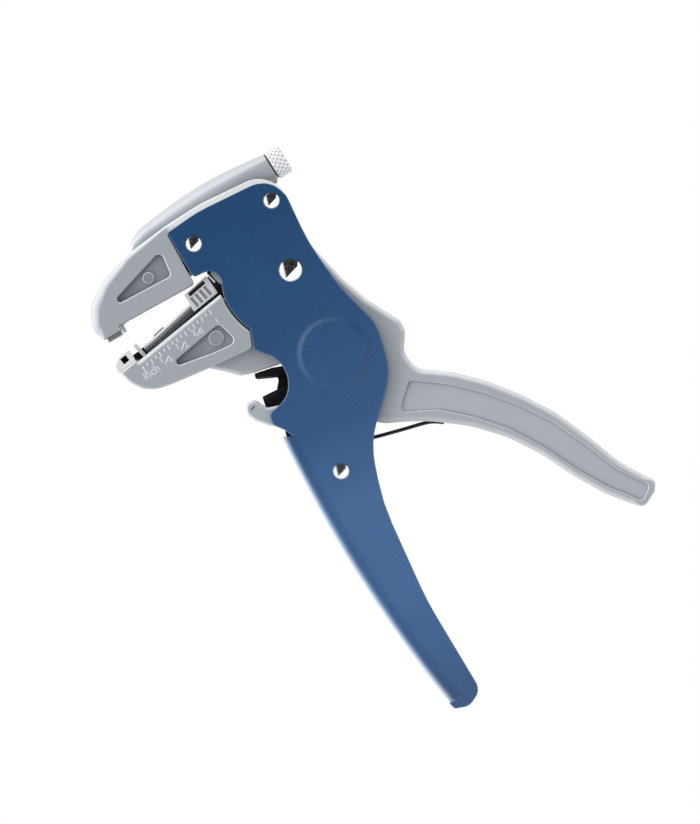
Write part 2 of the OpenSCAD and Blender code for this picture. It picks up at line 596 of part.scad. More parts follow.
// Chrome grip block on the tip, with a square recess in its front face
grip_block = rounded([near_tip(-6.65, 0.59, 0.2), near_tip(-6.55, 2.64, 0.8),
    near_tip(-4.45, 4.44, 0.3), near_tip(-0.85, 4.94, 0.3), near_tip(-0.65, 1.64, 0.2)]);
module lower_grip_block() color(bright) difference() {
    union() {
        plate(grip_block, cheek_back + 0.6, cheek_front - 0.6);
        plate([for (p = [[-6.35, 0.39], [-6.35, 0.84], [-0.65, 1.84], [-0.65, 1.36]])
            xy(near_tip(p[0], p[1], 0))], cheek_back + 0.6, cheek_front - 0.6);
    }
    translate(near_tip(-4.05, 1.94, cheek_front - 2)) rotate([0, 0, 9.5]) cube([2, 1.9, 3]);
    for (x = [-4.25 : 0.9 : -1.25]) translate(near_tip(x, 4.49 + (x + 4.25) * 0.14, mid_z))
        rotate([0, 0, 54]) cube([0.4, 0.4, cheek_front], center = true);
}
module grip_block_pin() color(dull_steel)
    bar_round(near_tip(-3.75, -1.56, 0), grip_pin_r, cheek_back, cheek_front - 2.5);
module lower_guide_pin() color(dull_steel)
    bar_round(lower_guide_at, guide_pin_r, mid_z, inner_front - pass_gap);

// Jaw spring: a coil round the bush beside the hub, with a leg on the jaw and one on the casting
jaw_coil_r = 3.9;
jaw_wire_r = 0.35;
jaw_coil_low = inner_back + pass_gap + jaw_wire_r;
jaw_coil_turns = 2;
jaw_coil_end = 360 * jaw_coil_turns + 150;
module jaw_spring() color(dull_steel) wire(concat(
    [at_z([-2.6, 40], jaw_coil_low), at_z([-2.5, 34], jaw_coil_low)],
    [for (a = [160 : 24 : jaw_coil_end]) [jaw_pivot_x + jaw_coil_r * cos(a),
        jaw_pivot_y + jaw_coil_r * sin(a), jaw_coil_low + 0.8 * (a - 160) / 360]],
    [at_z([-6, 27.5], jaw_coil_low + 0.8 * (jaw_coil_end - 160) / 360),
     at_z([-12, 26.5], jaw_coil_low + 0.8 * (jaw_coil_end - 160) / 360)]), jaw_wire_r, 6);

// Lower carriage: the blade's rail with a rack below it, and a slotted tail
// Teeth along the rail's lower edge, from the front to the middle
rack = [for (s = [rail_start + 1 : tooth_pitch : 0]) each [on_rail(s, -rail_h),
    on_rail(s + tooth_pitch * 0.45, -rail_h + tooth_d), on_rail(s + tooth_pitch * 0.9, -rail_h)]];
module lower_blade_rail() color(dull_steel) difference() {
    union() {
        plate(concat([on_rail(rail_end, -rail_h), on_rail(rail_end, 0), on_rail(rail_start, 0),
            on_rail(rail_start, -rail_h)], rack), mid_z - rail_w / 2, mid_z + rail_w / 2);
        plate(rounded([[-18.2, 33.7, 0.5], [-17.6, 37, 1], [-14, 38.3, 2], [-7, 38.6, 4],
            [-1, 43.4, 2.5], [6.6, 43.4, 2.5], [6.8, lower_slot_end[1] - slot_r - 1.2, 2],
            [-1.2, lower_slot_end[1] - slot_r - 1.2, 2], [-4, 34.7, 4]]), tail_lower_low,
            tail_lower_low + tail_t);
    }
    slot(draw_pin_at, lower_slot_end, slot_r, mid_z - 3, mid_z + 6);
    slot(lower_guide_at + draw_dir * 0.4, lower_guide_at - draw_dir * (lower_stroke + 0.4),
        guide_pin_r + 0.15, mid_z - 6, mid_z + 6);
    on_rail_frame(rail_start) translate([-1, -rail_h / 2, 0]) rotate([0, 90, 0])
        cylinder(r = screw_shank_r, h = screw_grip + 1);
}
module on_rail_frame(s) {
    at = on_rail(s, 0);
    translate([at[0], at[1], mid_z]) rotate([0, 0, rail_slope]) children();
}
module lower_blade() color(bright) on_rail_frame(rail_start - blade_t) difference() {
    translate([0, lower_blade_low, -blade_w / 2]) cube([blade_t, 2.2 - lower_blade_low, blade_w]);
    translate([-1, 2.2, 0]) rotate([0, 90, 0]) cylinder(r = 0.9, h = blade_t + 2);
    translate([-1, -rail_h / 2, 0]) rotate([0, 90, 0]) cylinder(r = screw_shank_r, h = blade_t + 2);
}
module lower_blade_screw() color(dull_steel) on_rail_frame(rail_start - blade_t)
    translate([0, -rail_h / 2, 0]) rotate([0, 90, 0]) {
        cylinder(r = screw_shank_r, h = blade_t + screw_grip);
        translate([0, 0, -0.3]) cylinder(r = screw_head_r, h = 0.3);
    }

// Stop slider: a grooved block that straddles the rail, with a click spring under it
slider_outline = rounded([[-29.1, 30.8, 0.3], [-29.2, 36.5, 0.3],
    [-20.8, 38.2, 0.4], [-20.3, 32.2, 0.4]]);
slider_groove_pitch = 1.58;
slider_fit = 0.12;
module stop_slider() color(bright) difference() {
    plate(slider_outline, mid_z - slider_w / 2, mid_z + slider_w / 2);
    plate([on_rail(-6, slider_fit), on_rail(16, slider_fit), on_rail(16, -rail_h - 0.9),
        on_rail(-6, -rail_h - 0.9)], mid_z - rail_w / 2 - slider_fit, mid_z + rail_w / 2 + slider_fit);
    for (i = [0 : 3], side = [-1, 1]) translate(concat(on_rail(2.6 + slider_groove_pitch * i, 0.6),
        mid_z + side * slider_w / 2)) rotate([0, 0, rail_slope - 4]) cube([0.8, 3.4, 1], center = true);
    translate([-24.2, 36.2, mid_z + slider_w / 2]) rotate([0, 0, 11]) cube([6.6, 1.1, 2.4], center = true);
}
module slider_click_spring() color(dull_steel) plate([on_rail(2, -rail_h - slider_fit),
    on_rail(9, -rail_h - slider_fit), on_rail(9, -rail_h - slider_fit - 0.4),
    on_rail(2, -rail_h - slider_fit - 0.4)], mid_z - rail_w / 2, mid_z + rail_w / 2);

// Rear handle: [distance along, middle, half width] at each station of the grip
grip_a = -53;
grip_dir = [cos(grip_a), sin(grip_a)];
grip_side = [-sin(grip_a), cos(grip_a)];
grip_neck = 34;
grip_shape = [[0, 0.8, 7.8], [0.16, 3.1, 7.05], [0.32, 3.85, 6.5], [0.485, 3.05, 6.4],
    [0.65, 0.6, 6.1], [0.81, -1.6, 5.1], [0.92, -1.8, 4.6]];
function on_grip(f, w) = grip_dir * (grip_neck + f * (rear_handle_l - grip_neck)) + grip_side * w;
grip_last = len(grip_shape) - 1;
grip_outer = [for (g = grip_shape) concat(on_grip(g[0], g[1] + g[2]), [26])];
grip_inner = [for (i = [grip_last : -1 : 0])
    concat(on_grip(grip_shape[i][0], grip_shape[i][1] - grip_shape[i][2]), [26])];
handle_outline = rounded(concat(
    [[-0.2, 44, 2.9], [6.2, 44, 2.9], [8.9, 37, 6], [10.5, 29, 20], [13.2, 17.6, 30], [16.1, 9.3, 12],
     [21.7, -1.4, 3], [21.4, -4.8, 3], [17.9, -10, 5], [18.7, -16, 5]],
    grip_outer,
    [concat(on_grip(0.985, 2.7), [2]), concat(on_grip(1, -0.4), [1.2]),
     concat(on_grip(0.985, -6), [2.4])],
    grip_inner,
    [[8.2, -27.7, 6], [2.8, -25.2, 8], [-5.5, -18, 5], [-8.9, -9.5, 3]],
    plain(arc([0, 0], trunnion_r + 0.2, 180, 96)),
    [[3, 14.6, 5], [6.1, 22.2, 8], [6.85, 27.2, 6], [6.3, 31.6, 3], [0, 36.2, 2.4]]));
panel_corners = concat(
    [[15.2, -17.9, 1.2]],
    [for (g = grip_shape) concat(on_grip(g[0], g[1] + g[2] - panel_rim_out * (1.25 - 0.65 * g[0])),
        [14])],
    [concat(on_grip(0.973, 1), [2.6]), concat(on_grip(0.973, -4.8), [2.6])],
    [for (i = [grip_last : -1 : 0]) let (g = grip_shape[i], f = 1 - g[0])
        concat(on_grip(g[0], g[1] - g[2] + panel_rim_in * (1 + 0.75 * f * f * f * f)), [14])],
    [[8.4, -24.6, 1.2], [10.9, -21.7, 4]]);
panel_outline = rounded(panel_corners);
hook_outline = rounded([[-29.9, 0, 1.9], [-26.6, 0, 1.9], [-24.7, -4, 1.6], [-20.5, -5.4, 6],
    [-12, -4.8, 4], [-4, -3, 0], [-2, -8.6, 0], [-12, -10.4, 6], [-23, -11.3, 7], [-29.2, -8.8, 4],
    [-31, -3.2, 3]]);
ear_low = inner_back + pass_gap;
ear_high = inner_front - pass_gap;
module ear(outline) {
    plate(outline, ear_low, ear_low + ear_t);
    plate(outline, ear_high - ear_t, ear_high);
}
closing_ear = rounded([[-9, 0, 0], [-13.3, 9.6, 3.4], [-12.4, 15.6, 3.4], [-5.8, 15.2, 3.4], [4, 8.4, 0]]);
draw_ear = rounded([[-0.2, 44, 2.9], [6.2, 44, 2.9], [8.9, 37, 6], [10.3, 30, 0], [6.4, 30, 0],
    [6.2, 31.6, 3], [0, 36.4, 2.4]]);
module rear_handle() color(cast_grey) difference() {
    union() {
        difference() {
            plate(handle_outline, mid_z - handle_t / 2, mid_z + handle_t / 2);
            translate([-8, 32.8, mid_z - 3.75]) cube([30, 16, 7.5]);
            for (face = [mid_z - handle_t / 2 - 1, mid_z + handle_t / 2 - panel_d])
                plate(panel_outline, face, face + panel_d + 1);
        }
        bar_round([0, 0], trunnion_r, inner_back - emboss_h + pass_gap / 2,
            inner_front + emboss_h - pass_gap / 2);
        plate(hook_outline, cut_z + cutter_gap / 2, cut_z + cutter_gap / 2 + hook_t);
        ear(closing_ear);
        ear(draw_ear);
    }
    plate(lower_cutter, cut_z, lower_cutter_high + 0.02);
    for (at = cutter_screw_places) bar_round(at, screw_shank_r, cut_z, cut_z + hook_t - 1);
    bar_round(draw_pin_at, draw_pin_r, ear_low - 1, ear_high + 1);
    bar_round(closing_pin_at, closing_pin_r, ear_low - 1, ear_high + 1);
    bar_round(jaw_pivot, main_head_r + 1.9, ear_low, ear_high);
    plate(concat([for (p = return_leg_up) p + [0, return_wire_r + 0.3]], [[18.7, -34], [18.7, -40],
        [-6, -40]]), return_low - return_wire_r - 0.3, return_low + return_wire_r + 0.3);
}
module draw_pin() color(dull_steel) bar_round(draw_pin_at, draw_pin_r, ear_low, ear_high);
module closing_pin() color(dull_steel) bar_round(closing_pin_at, closing_pin_r, ear_low, ear_high);
module closing_roller() color(dull_steel) difference() {
    bar_round(closing_pin_at, roller_r, ear_low + ear_t + 0.1, ear_high - ear_t - 0.1);
    bar_round(closing_pin_at, closing_pin_r, ear_low, ear_high);
}

body_shell();
upper_jaw();
upper_grip_pad();
upper_jaw_rivets();
main_pivot_rivet();
main_pivot_bush();
spring_rivet();
spring_bush();
return_spring();
upper_cutter_blade();
cutter_posts();
upper_guide_pin();
spring_plunger();
tension_spring();
adjusting_nut();
adjusting_screw();
adjusting_knob();
upper_blade_carriage();
upper_blade();
upper_blade_screw();
lower_jaw();
lower_grip_block();
grip_block_pin();
lower_guide_pin();
jaw_spring();
lower_blade_rail();
lower_blade();
lower_blade_screw();
stop_slider();
slider_click_spring();
rear_handle();
draw_pin();
closing_pin();
closing_roller();
lower_cutter_blade();
cutter_screws();
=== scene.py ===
import math

import bmesh
import bpy
import numpy as np
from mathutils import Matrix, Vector, geometry


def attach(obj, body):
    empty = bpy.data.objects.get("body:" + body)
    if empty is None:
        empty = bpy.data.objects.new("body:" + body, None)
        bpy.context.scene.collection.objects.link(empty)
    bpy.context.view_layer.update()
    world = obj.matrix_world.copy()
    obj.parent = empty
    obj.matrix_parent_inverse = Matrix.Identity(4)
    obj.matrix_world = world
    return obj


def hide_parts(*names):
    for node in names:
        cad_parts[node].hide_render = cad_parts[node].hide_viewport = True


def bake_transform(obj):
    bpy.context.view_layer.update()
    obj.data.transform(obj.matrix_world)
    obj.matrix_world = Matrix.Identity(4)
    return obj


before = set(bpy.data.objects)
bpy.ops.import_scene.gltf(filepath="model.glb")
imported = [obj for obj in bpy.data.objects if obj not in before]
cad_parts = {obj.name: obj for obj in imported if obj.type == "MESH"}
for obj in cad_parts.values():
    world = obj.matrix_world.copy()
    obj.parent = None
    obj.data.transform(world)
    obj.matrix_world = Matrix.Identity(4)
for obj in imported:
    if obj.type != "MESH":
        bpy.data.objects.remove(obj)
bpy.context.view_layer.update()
print("stage: packed model loaded")

# Lengths below are in millimetres in the shared frame, turned to metres when a mesh is made.
toMetres = 0.001
levels = {"back": 0.8, "innerBack": 2.3, "grooveLow": 4.2, "mid": 8.8, "grooveHigh": 13.4, "innerFront": 15.3,
          "front": 16.8}
handlePivot = np.array([0.0, 0.0])
jawPivot = np.array([1.3, 27.3])
springPivot = np.array([-15.2, -30.8])
lightFrom = np.array([-0.259, 0.966])
upward = (0, 0, 1)


# Outlines.
def unit(v):
    return v / np.linalg.norm(v)


def heading(angle):
    # Unit vectors along and across a direction that is given in degrees.
    a = math.radians(angle)
    return np.array([math.cos(a), math.sin(a)]), np.array([-math.sin(a), math.cos(a)])


def arcPoints(centre, radius, start, end, step=5.0):
    count = max(2, math.ceil(abs(end - start) / step))
    a = np.radians(np.linspace(start, end, count + 1))
    return np.column_stack([centre[0] + radius * np.cos(a), centre[1] + radius * np.sin(a)])


def arcCorners(*arc):
    return [[x, y, 0] for x, y in arcPoints(*arc)]


def offsetOutline(corners, wanted):
    # Rounded outline of corners [x, y, radius, share of its edges, share of the offset], moved inwards
    # by the wanted offset with as many points as at 0. It runs counterclockwise, as its area is positive.
    shares, arcStep, leastSine, leastRadius = (0.48, 1.0), 7.0, 0.35, 0.03
    xy = np.array([c[:2] for c in corners], float)
    x, y = xy.T
    if np.sum(x * np.roll(y, -1) - np.roll(x, -1) * y) < 0:
        corners, xy = corners[::-1], xy[::-1]
    out = []
    for i, corner in enumerate(corners):
        radius, share, moved = [*corner[2:], *shares[len(corner) - 3:]]
        here, before, after = xy[i], xy[i - 1] - xy[i], xy[(i + 1) % len(xy)] - xy[i]
        u, v = unit(before), unit(after)
        bend = u + v
        if np.linalg.norm(bend) < 1e-4:
            middle, half, side = np.array([-v[1], v[0]]), math.pi / 2, 1
        else:
            middle, half = unit(bend), math.acos(np.clip(u @ v, -1, 1)) / 2
            side = 1 if u[0] * v[1] - u[1] * v[0] < 0 else -1
        inset = side * wanted * moved
        if radius <= 0:
            out.append([here + middle * inset / max(math.sin(half), leastSine)])
            continue
        reach = min(radius / math.tan(half), share * np.linalg.norm(before), share * np.linalg.norm(after))
        centre = here + middle * reach / math.cos(half)
        p, q = here + u * reach - centre, here + v * reach - centre
        start = math.degrees(math.atan2(p[1], p[0]))
        turn = (math.degrees(math.atan2(q[1], q[0])) - start + 180) % 360 - 180
        grown = max(reach * math.tan(half) - inset, leastRadius)
        centre = here + middle * (grown + inset) / math.sin(half)
        out.append(arcPoints(centre, grown, start, start + turn, arcStep))
    return np.vstack(out)


def tilted(centre, length, width, angle, radius=0.1):
    # Corners of a bar with its middle at centre, turned by angle.
    along, side = heading(angle)
    return [[*(np.array(centre) + along * i * length / 2 + side * j * width / 2), radius]
            for i, j in ((-1, -1), (1, -1), (1, 1), (-1, 1))]


# Meshes of rings. Each point has a tone of painted light, from -1 for painted shade in a recess to 1 for a
# painted highlight on an edge.
def newMesh():
    return {"points": [], "tone": [], "faces": [], "count": 0}


def addPoints(mesh, points, tone=0.0):
    first = mesh["count"]
    mesh["points"].append(np.asarray(points, float))
    mesh["tone"].append(np.broadcast_to(np.asarray(tone, float), (len(points),)))
    mesh["count"] += len(points)
    return np.arange(first, mesh["count"])


def addRing(mesh, flat, level, tone=0.0):
    return addPoints(mesh, np.column_stack([flat, np.broadcast_to(level, len(flat))]), tone)


def addBands(mesh, rings, up=True):
    # Quads from each ring to the next one; they face out if the rings run counterclockwise and go up.
    for a, b in zip(rings, rings[1:]):
        a, b = (a, b) if up else (b, a)
        mesh["faces"].append(np.column_stack([a, np.roll(a, -1), np.roll(b, -1), b]))


def litSide(loop):
    # Share from -1 to 1 by which a counterclockwise outline faces the light at each of its points.
    along = np.roll(loop, -1, 0) - np.roll(loop, 1, 0)
    length = np.maximum(np.linalg.norm(along, axis=1), 1e-9)
    return (along[:, 1] * lightFrom[0] - along[:, 0] * lightFrom[1]) / length


def addRings(mesh, corners, steps, side=1):
    # A ring for each (inset, level, tone). A painted highlight is full towards the light, weak on the far
    # side.
    rings = []
    for inset, level, tone in steps:
        flat = offsetOutline(corners, inset)
        if tone > 0:
            tone = tone * np.clip(0.6 + 0.5 * side * litSide(flat), 0.1, 1)
        rings.append(addRing(mesh, flat, level, tone))
    return rings


def addCap(mesh, loops, up=True):
    # Triangles inside closed loops of points. They run counterclockwise, or the other way on a low face.
    points = np.vstack(mesh["points"])
    ids = np.concatenate(loops)
    edges = []
    for loop in loops:
        first = len(edges)
        edges += [(first + i, first + (i + 1) % len(loop)) for i in range(len(loop))]
    made = geometry.delaunay_2d_cdt([Vector(points[i, :2]) for i in ids], edges, [], 0, 1e-6, True)
    origin = [o[0] if o else -1 for o in made[3]]
    tris = np.array([[origin[i] for i in f] for f in made[2]])
    # A triangle stays if a line from its middle crosses the loops an odd number of times.
    flat = points[ids][:, :2]
    middle = flat[tris].mean(1)
    p, q = flat[[e[0] for e in edges]], flat[[e[1] for e in edges]]
    x, y = middle[:, :1], middle[:, 1:]
    rise = np.where(q[:, 1] == p[:, 1], 1e-12, q[:, 1] - p[:, 1])
    cross = ((p[:, 1] > y) != (q[:, 1] > y)) & (x < p[:, 0] + (y - p[:, 1]) * (q[:, 0] - p[:, 0]) / rise)
    tris = tris[cross.sum(1) % 2 == 1]
    if tris.size == 0 or tris.min() < 0:
        crossings = [tuple(round(x, 2) for x in v) for v, o in zip(made[0], made[3]) if not o]
        raise RuntimeError(f"an outline crosses itself at {crossings}")
    mesh["faces"].append(ids[tris] if up else ids[tris][:, ::-1])


def plateEdge(radius, face, sign, flat, faceTone, shine):
    # A flat rim and a quarter round as (inset, level, tone), going up from a face if sign is 1. The rim has
    # the face's tone of painted light, the quarter round a painted highlight as strong as shine.
    a = np.radians(np.linspace(0, 90, 5))
    tones = np.sin(np.radians(np.linspace(0, 180, len(a)))) * shine
    bend = zip(radius - radius * np.sin(a), face + sign * (radius - radius * np.cos(a)), tones)
    return [(radius + flat, face, faceTone), *bend]


def addPlate(mesh, corners, low, high, roundLow=0.05, roundHigh=0.05, flat=0.05, holesHigh=(), holesLow=(),
             faceTone=0.0, shine=1.0):
    # Plate between two levels; its holes are the outer rings of pockets. faceTone is painted light on its
    # faces, shine a painted highlight on its rounded edges.
    look = (flat, faceTone, shine)
    steps = plateEdge(roundLow, low, 1, *look) + plateEdge(roundHigh, high, -1, *look)[::-1]
    rings = addRings(mesh, corners, steps)
    addBands(mesh, rings)
    addCap(mesh, [rings[0], *holesLow], False)
    addCap(mesh, [rings[-1], *holesHigh])


def addPocket(mesh, corners, face, depth, down=True, boss=None, lip=0.4, shade=(-0.9, -0.9, 4.0)):
    # Rings of a recess with a rounded lip, a wall with draft and a round disc on its floor. The lip gets a
    # painted highlight, the wall painted shade, and the disc's rim a painted highlight with painted shade
    # beside it. The floor's painted shade goes from the first value of shade at the first corner to the
    # second one, further off.
    sign = -1 if down else 1
    draft, foot, floor = 0.04, 0.07, face + sign * depth
    rings = addRings(mesh, corners, [
        (-lip - 0.05, face, 0), (-lip, face, 0.2), (-lip * 0.3, face + sign * lip * 0.25, 1),
        (0, face + sign * lip, 0.3), (draft, face + sign * (depth - foot), -0.6),
        (draft + foot * 0.3, face + sign * (depth - foot * 0.3), -1), (draft + foot, floor, -1)], -1)
    nearTone, farTone, reach = shade
    flat = offsetOutline(corners, draft + foot + 0.02)
    near = np.exp(-((np.linalg.norm(flat - corners[0][:2], axis=1) / reach) ** 2))
    rings.append(addRing(mesh, flat, floor, farTone + (nearTone - farTone) * near))
    addBands(mesh, rings, down)
    loops = [rings[-1]]
    if boss:
        top = face + sign * (depth - boss["h"])
        disc = addRings(mesh, arcCorners(boss["at"], boss["r"] + 0.07, 0, 354, 6), [
            (0, floor, farTone), (0.05, floor - sign * 0.1, farTone), (0.1, floor - sign * 0.3, -0.2),
            (0.17, top + sign * 0.04, 0.7), (0.34, top, 0.5), (0.5, top - sign * 0.02, -0.35),
            (0.65, top + sign * 0.12, farTone), (0.8, top + sign * 0.12, farTone)])
        addBands(mesh, disc, down)
        addCap(mesh, [disc[-1]], down)
        loops.append(disc[0])
    addCap(mesh, loops, down)
    return rings[0]


def addPockets(mesh, outlines, low, high, depth, **look):
    # The same recesses in both faces: their outer rings in front, and those at the back.
    return [[addPocket(mesh, outline, face, depth, down, **look) for outline in outlines]
            for face, down in ((high, True), (low, False))]


def addSides(mesh, jaw, outline, low, high):
    # A casting's two plates beside its groove, each with a pocket and a boss in its outer face.
    look = {"boss": jaw["boss"], "shade": jaw["shade"]}
    front, back = addPockets(mesh, [jaw["pocket"]], low, high, jaw["depth"], **look)
    addPlate(mesh, outline, levels["grooveHigh"], high, 0.05, jaw["round"], 0.1, front)
    addPlate(mesh, outline, low, levels["grooveLow"], jaw["round"], 0.05, 0.1, (), back)


def addGrid(mesh, grid, tone=0.0):
    # Faces over a grid of points: rows go along, columns go round and close.
    ids = addPoints(mesh, grid.reshape(-1, 3), tone).reshape(grid.shape[:2])
    ids = np.column_stack([ids, ids[:, :1]])
    quads = np.stack([ids[:-1, :-1], ids[:-1, 1:], ids[1:, 1:], ids[1:, :-1]], -1)
    mesh["faces"].append(quads.reshape(-1, 4))
    return ids


def roundAngles(count):
    return np.radians(np.arange(count) * 360 / count)


def addLathe(mesh, centre, axis, profile, count=96, wave=None, tone=0.0):
    # Surface turned about an axis: profile is (radius, distance along the axis), and wave adds to the
    # radius. The tone is one value, or one for each ring and each place round the axis.
    axis = unit(np.asarray(axis, float))
    side = unit(np.cross(axis, upward if abs(axis[2]) < 0.9 else (0, 1, 0)))
    a = roundAngles(count)
    profile = np.asarray(profile, float)
    radius = np.repeat(profile[:, :1], count, 1)
    if wave is not None:
        radius = radius + wave(a[None, :], profile[:, 1:2]) * (profile[:, :1] > 0.1)
    ring = np.cos(a)[:, None] * side + np.sin(a)[:, None] * np.cross(axis, side)
    grid = np.asarray(centre, float) + profile[:, None, 1:2] * axis + radius[:, :, None] * ring[None]
    addGrid(mesh, grid, np.broadcast_to(tone, grid.shape[:2]).ravel())


def domeProfile(radius, height, low, count):
    # Cap of a ball, from the rim to the top.
    ball = (radius * radius + height * height) / (2 * height)
    a = np.linspace(math.asin(min(1, radius / ball)), 0, count)
    return [(ball * math.sin(t), low + height - ball + ball * math.cos(t)) for t in a]


def drumProfile(bore, radius, low, high, edge=0.3):
    side = [(radius - edge, low), (radius, low + edge), (radius, high - edge), (radius - edge, high)]
    return [(bore, low), *side, (bore, high)]


def tubeAlong(path, radius, count=12):
    # Rings round a path, carried along it without twist.
    along = np.gradient(path, axis=0)
    along /= np.linalg.norm(along, axis=1)[:, None]
    side = unit(np.cross(along[0], upward))
    sides = []
    for t in along:
        side = unit(side - t * (side @ t))
        sides.append(side)
    sides = np.array(sides)
    a = roundAngles(count)[None, :, None]
    return path[:, None] + radius * (np.cos(a) * sides[:, None] + np.sin(a) * np.cross(along, sides)[:, None])


def smoothPath(points, spacing=0.8):
    # Catmull-Rom curve through points, at even distances.
    p = np.asarray(points, float)
    p = np.vstack([2 * p[0] - p[1], p, 2 * p[-1] - p[-2]])
    t = np.linspace(0, 1, 12, endpoint=False)[:, None]
    parts = [0.5 * (2 * b + (c - a) * t + (2 * a - 5 * b + 4 * c - d) * t**2 + (3 * b - a - 3 * c + d) * t**3)
             for a, b, c, d in zip(p, p[1:], p[2:], p[3:])]
    curve = np.vstack(parts + [p[-2:-1]])
    length = np.concatenate([[0], np.cumsum(np.linalg.norm(np.diff(curve, axis=0), axis=1))])
    even = np.linspace(0, length[-1], max(2, round(length[-1] / spacing)))
    return np.column_stack([np.interp(even, length, curve[:, k]) for k in range(3)])


# Objects.
def readVectors(items, name):
    values = np.zeros(len(items) * 3)
    items.foreach_get(name, values)
    return values.reshape(-1, 3)


def smoothFaces(data, sharp):
    data.polygons.foreach_set("use_smooth", np.ones(len(data.polygons), bool))
    data.set_sharp_from_angle(angle=math.radians(sharp))


def newObject(name, data):
    made = bpy.data.objects.new(name, data)
    bpy.context.scene.collection.objects.link(made)
    return made


def toObject(name, mesh, material, sharp):
    points = np.vstack(mesh["points"]) * toMetres
    faces = [f for part in mesh["faces"] for f in part.tolist()]
    data = bpy.data.meshes.new(name)
    data.from_pydata(points.tolist(), [], faces)
    # Each point's painted light and shade goes to the material as an attribute.
    tone = data.attributes.new("paintedLightTone", "FLOAT", "POINT")
    tone.data.foreach_set("value", np.concatenate(mesh["tone"]).astype(np.float32))
    data.validate()
    smoothFaces(data, sharp)
    data.materials.append(material)
    return newObject(name, data)


def makePiece(name, mesh, material, body, nodes=(), sharp=38):
    piece = toObject(name, mesh, material, sharp)
    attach(piece, body)
    if nodes:
        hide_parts(*nodes)


def trimPieces(trim):
    # Small pieces of plates, each (outline, low, high, rounding below, rounding above, flat rim), and of
    # pins, each (place, radius, foot, rim, dome).
    for name, (material, body, slotName, plates, *pins) in trim.items():
        mesh = newMesh()
        for plate in plates:
            addPlate(mesh, *plate)
        for at, r, foot, rim, dome in pins:
            top = [*domeProfile(r, dome, rim, 6)[:-1], (0.02, rim + dome)]
            addLathe(mesh, (*at, 0), upward, [(0.02, foot), (r - 0.03, foot), (r, rim - 0.02), *top], 24)
        makePiece(name, mesh, material, body)


# Materials.
def linear(colour):
    # An 8-bit screen colour as linear values: the lower part of the curve isn't needed here.
    return (*(((part / 255 + 0.055) / 1.055) ** 2.4 for part in colour), 1)


def nodeTree(name):
    material = bpy.data.materials.new(name)
    material.use_nodes = True
    tree = material.node_tree
    return material, tree, tree.nodes["Principled BSDF"]


def feed(tree, node, values):
    # Inputs, by name or number, take another node's output, an 8-bit screen colour or a number.
    for label, value in values.items():
        socket = node.inputs[label]
        if hasattr(value, "is_output"):
            tree.links.new(value, socket)
        else:
            socket.default_value = linear(value) if socket.type == "RGBA" else value


def mathNode(tree, operation, *values, clamp=False):
    node = tree.nodes.new("ShaderNodeMath")
    node.operation, node.use_clamp = operation, clamp
    feed(tree, node, dict(enumerate(values)))
    return node.outputs[0]


def vectorNode(tree, operation, vector, other=None):
    node = tree.nodes.new("ShaderNodeVectorMath")
    node.operation = operation
    feed(tree, node, {0: vector})
    if other is not None:
        feed(tree, node, {"Scale" if operation == "SCALE" else 1: other})
    return node.outputs["Value" if operation == "DOT_PRODUCT" else "Vector"]


def mixColour(tree, factor, a, b, blend="MIX"):
    node = tree.nodes.new("ShaderNodeMix")
    node.data_type, node.blend_type = "RGBA", blend
    feed(tree, node, {0: factor, 6: a, 7: b})
    return node.outputs[2]


def remap(tree, *values):
    # The value, its lowest and highest, and what those two turn into.
    node = tree.nodes.new("ShaderNodeMapRange")
    feed(tree, node, dict(enumerate(values)))
    return node.outputs[0]


def objectPlace(tree):
    return tree.nodes.new("ShaderNodeTexCoord").outputs["Object"]


def noise(tree, place, scale, detail=3.0, rough=0.5):
    node = tree.nodes.new("ShaderNodeTexNoise")
    feed(tree, node, {"Vector": place, "Scale": scale, "Detail": detail, "Roughness": rough})
    return node.outputs[0]


def bump(tree, shader, height, strength, distance):
    node = tree.nodes.new("ShaderNodeBump")
    feed(tree, node, {"Strength": strength, "Distance": distance, "Height": height})
    feed(tree, shader, {"Normal": node.outputs[0]})


def newGroup(name, inputs, outputs):
    group = bpy.data.node_groups.new(name, "ShaderNodeTree")
    for side, labels in (("INPUT", inputs), ("OUTPUT", outputs)):
        for label in labels:
            kind = "NodeSocketColor" if label in ("Colour", "Edge", "Recess") else "NodeSocketFloat"
            group.interface.new_socket(label, in_out=side, socket_type=kind)
    return group, group.nodes.new("NodeGroupInput").outputs, group.nodes.new("NodeGroupOutput")


def useGroup(tree, group, **values):
    node = tree.nodes.new("ShaderNodeGroup")
    node.node_tree = group
    feed(tree, node, values)
    return node


def makeGrainGroup():
    # Fine grain of a cast or painted skin: a height, and slow and fast changes of tone.
    group, given, output = newGroup("surfaceGrain", ["Size"], ["Height", "Tone"])
    place = objectPlace(group)
    fine = noise(group, vectorNode(group, "SCALE", place, given["Size"]), 1.0, 2.0, 0.6)
    slow = noise(group, place, 60.0)
    shares = [mathNode(group, "MULTIPLY", fine, 0.45), mathNode(group, "MULTIPLY", slow, 0.55)]
    feed(group, output, {"Height": fine, "Tone": mathNode(group, "ADD", *shares)})
    return group


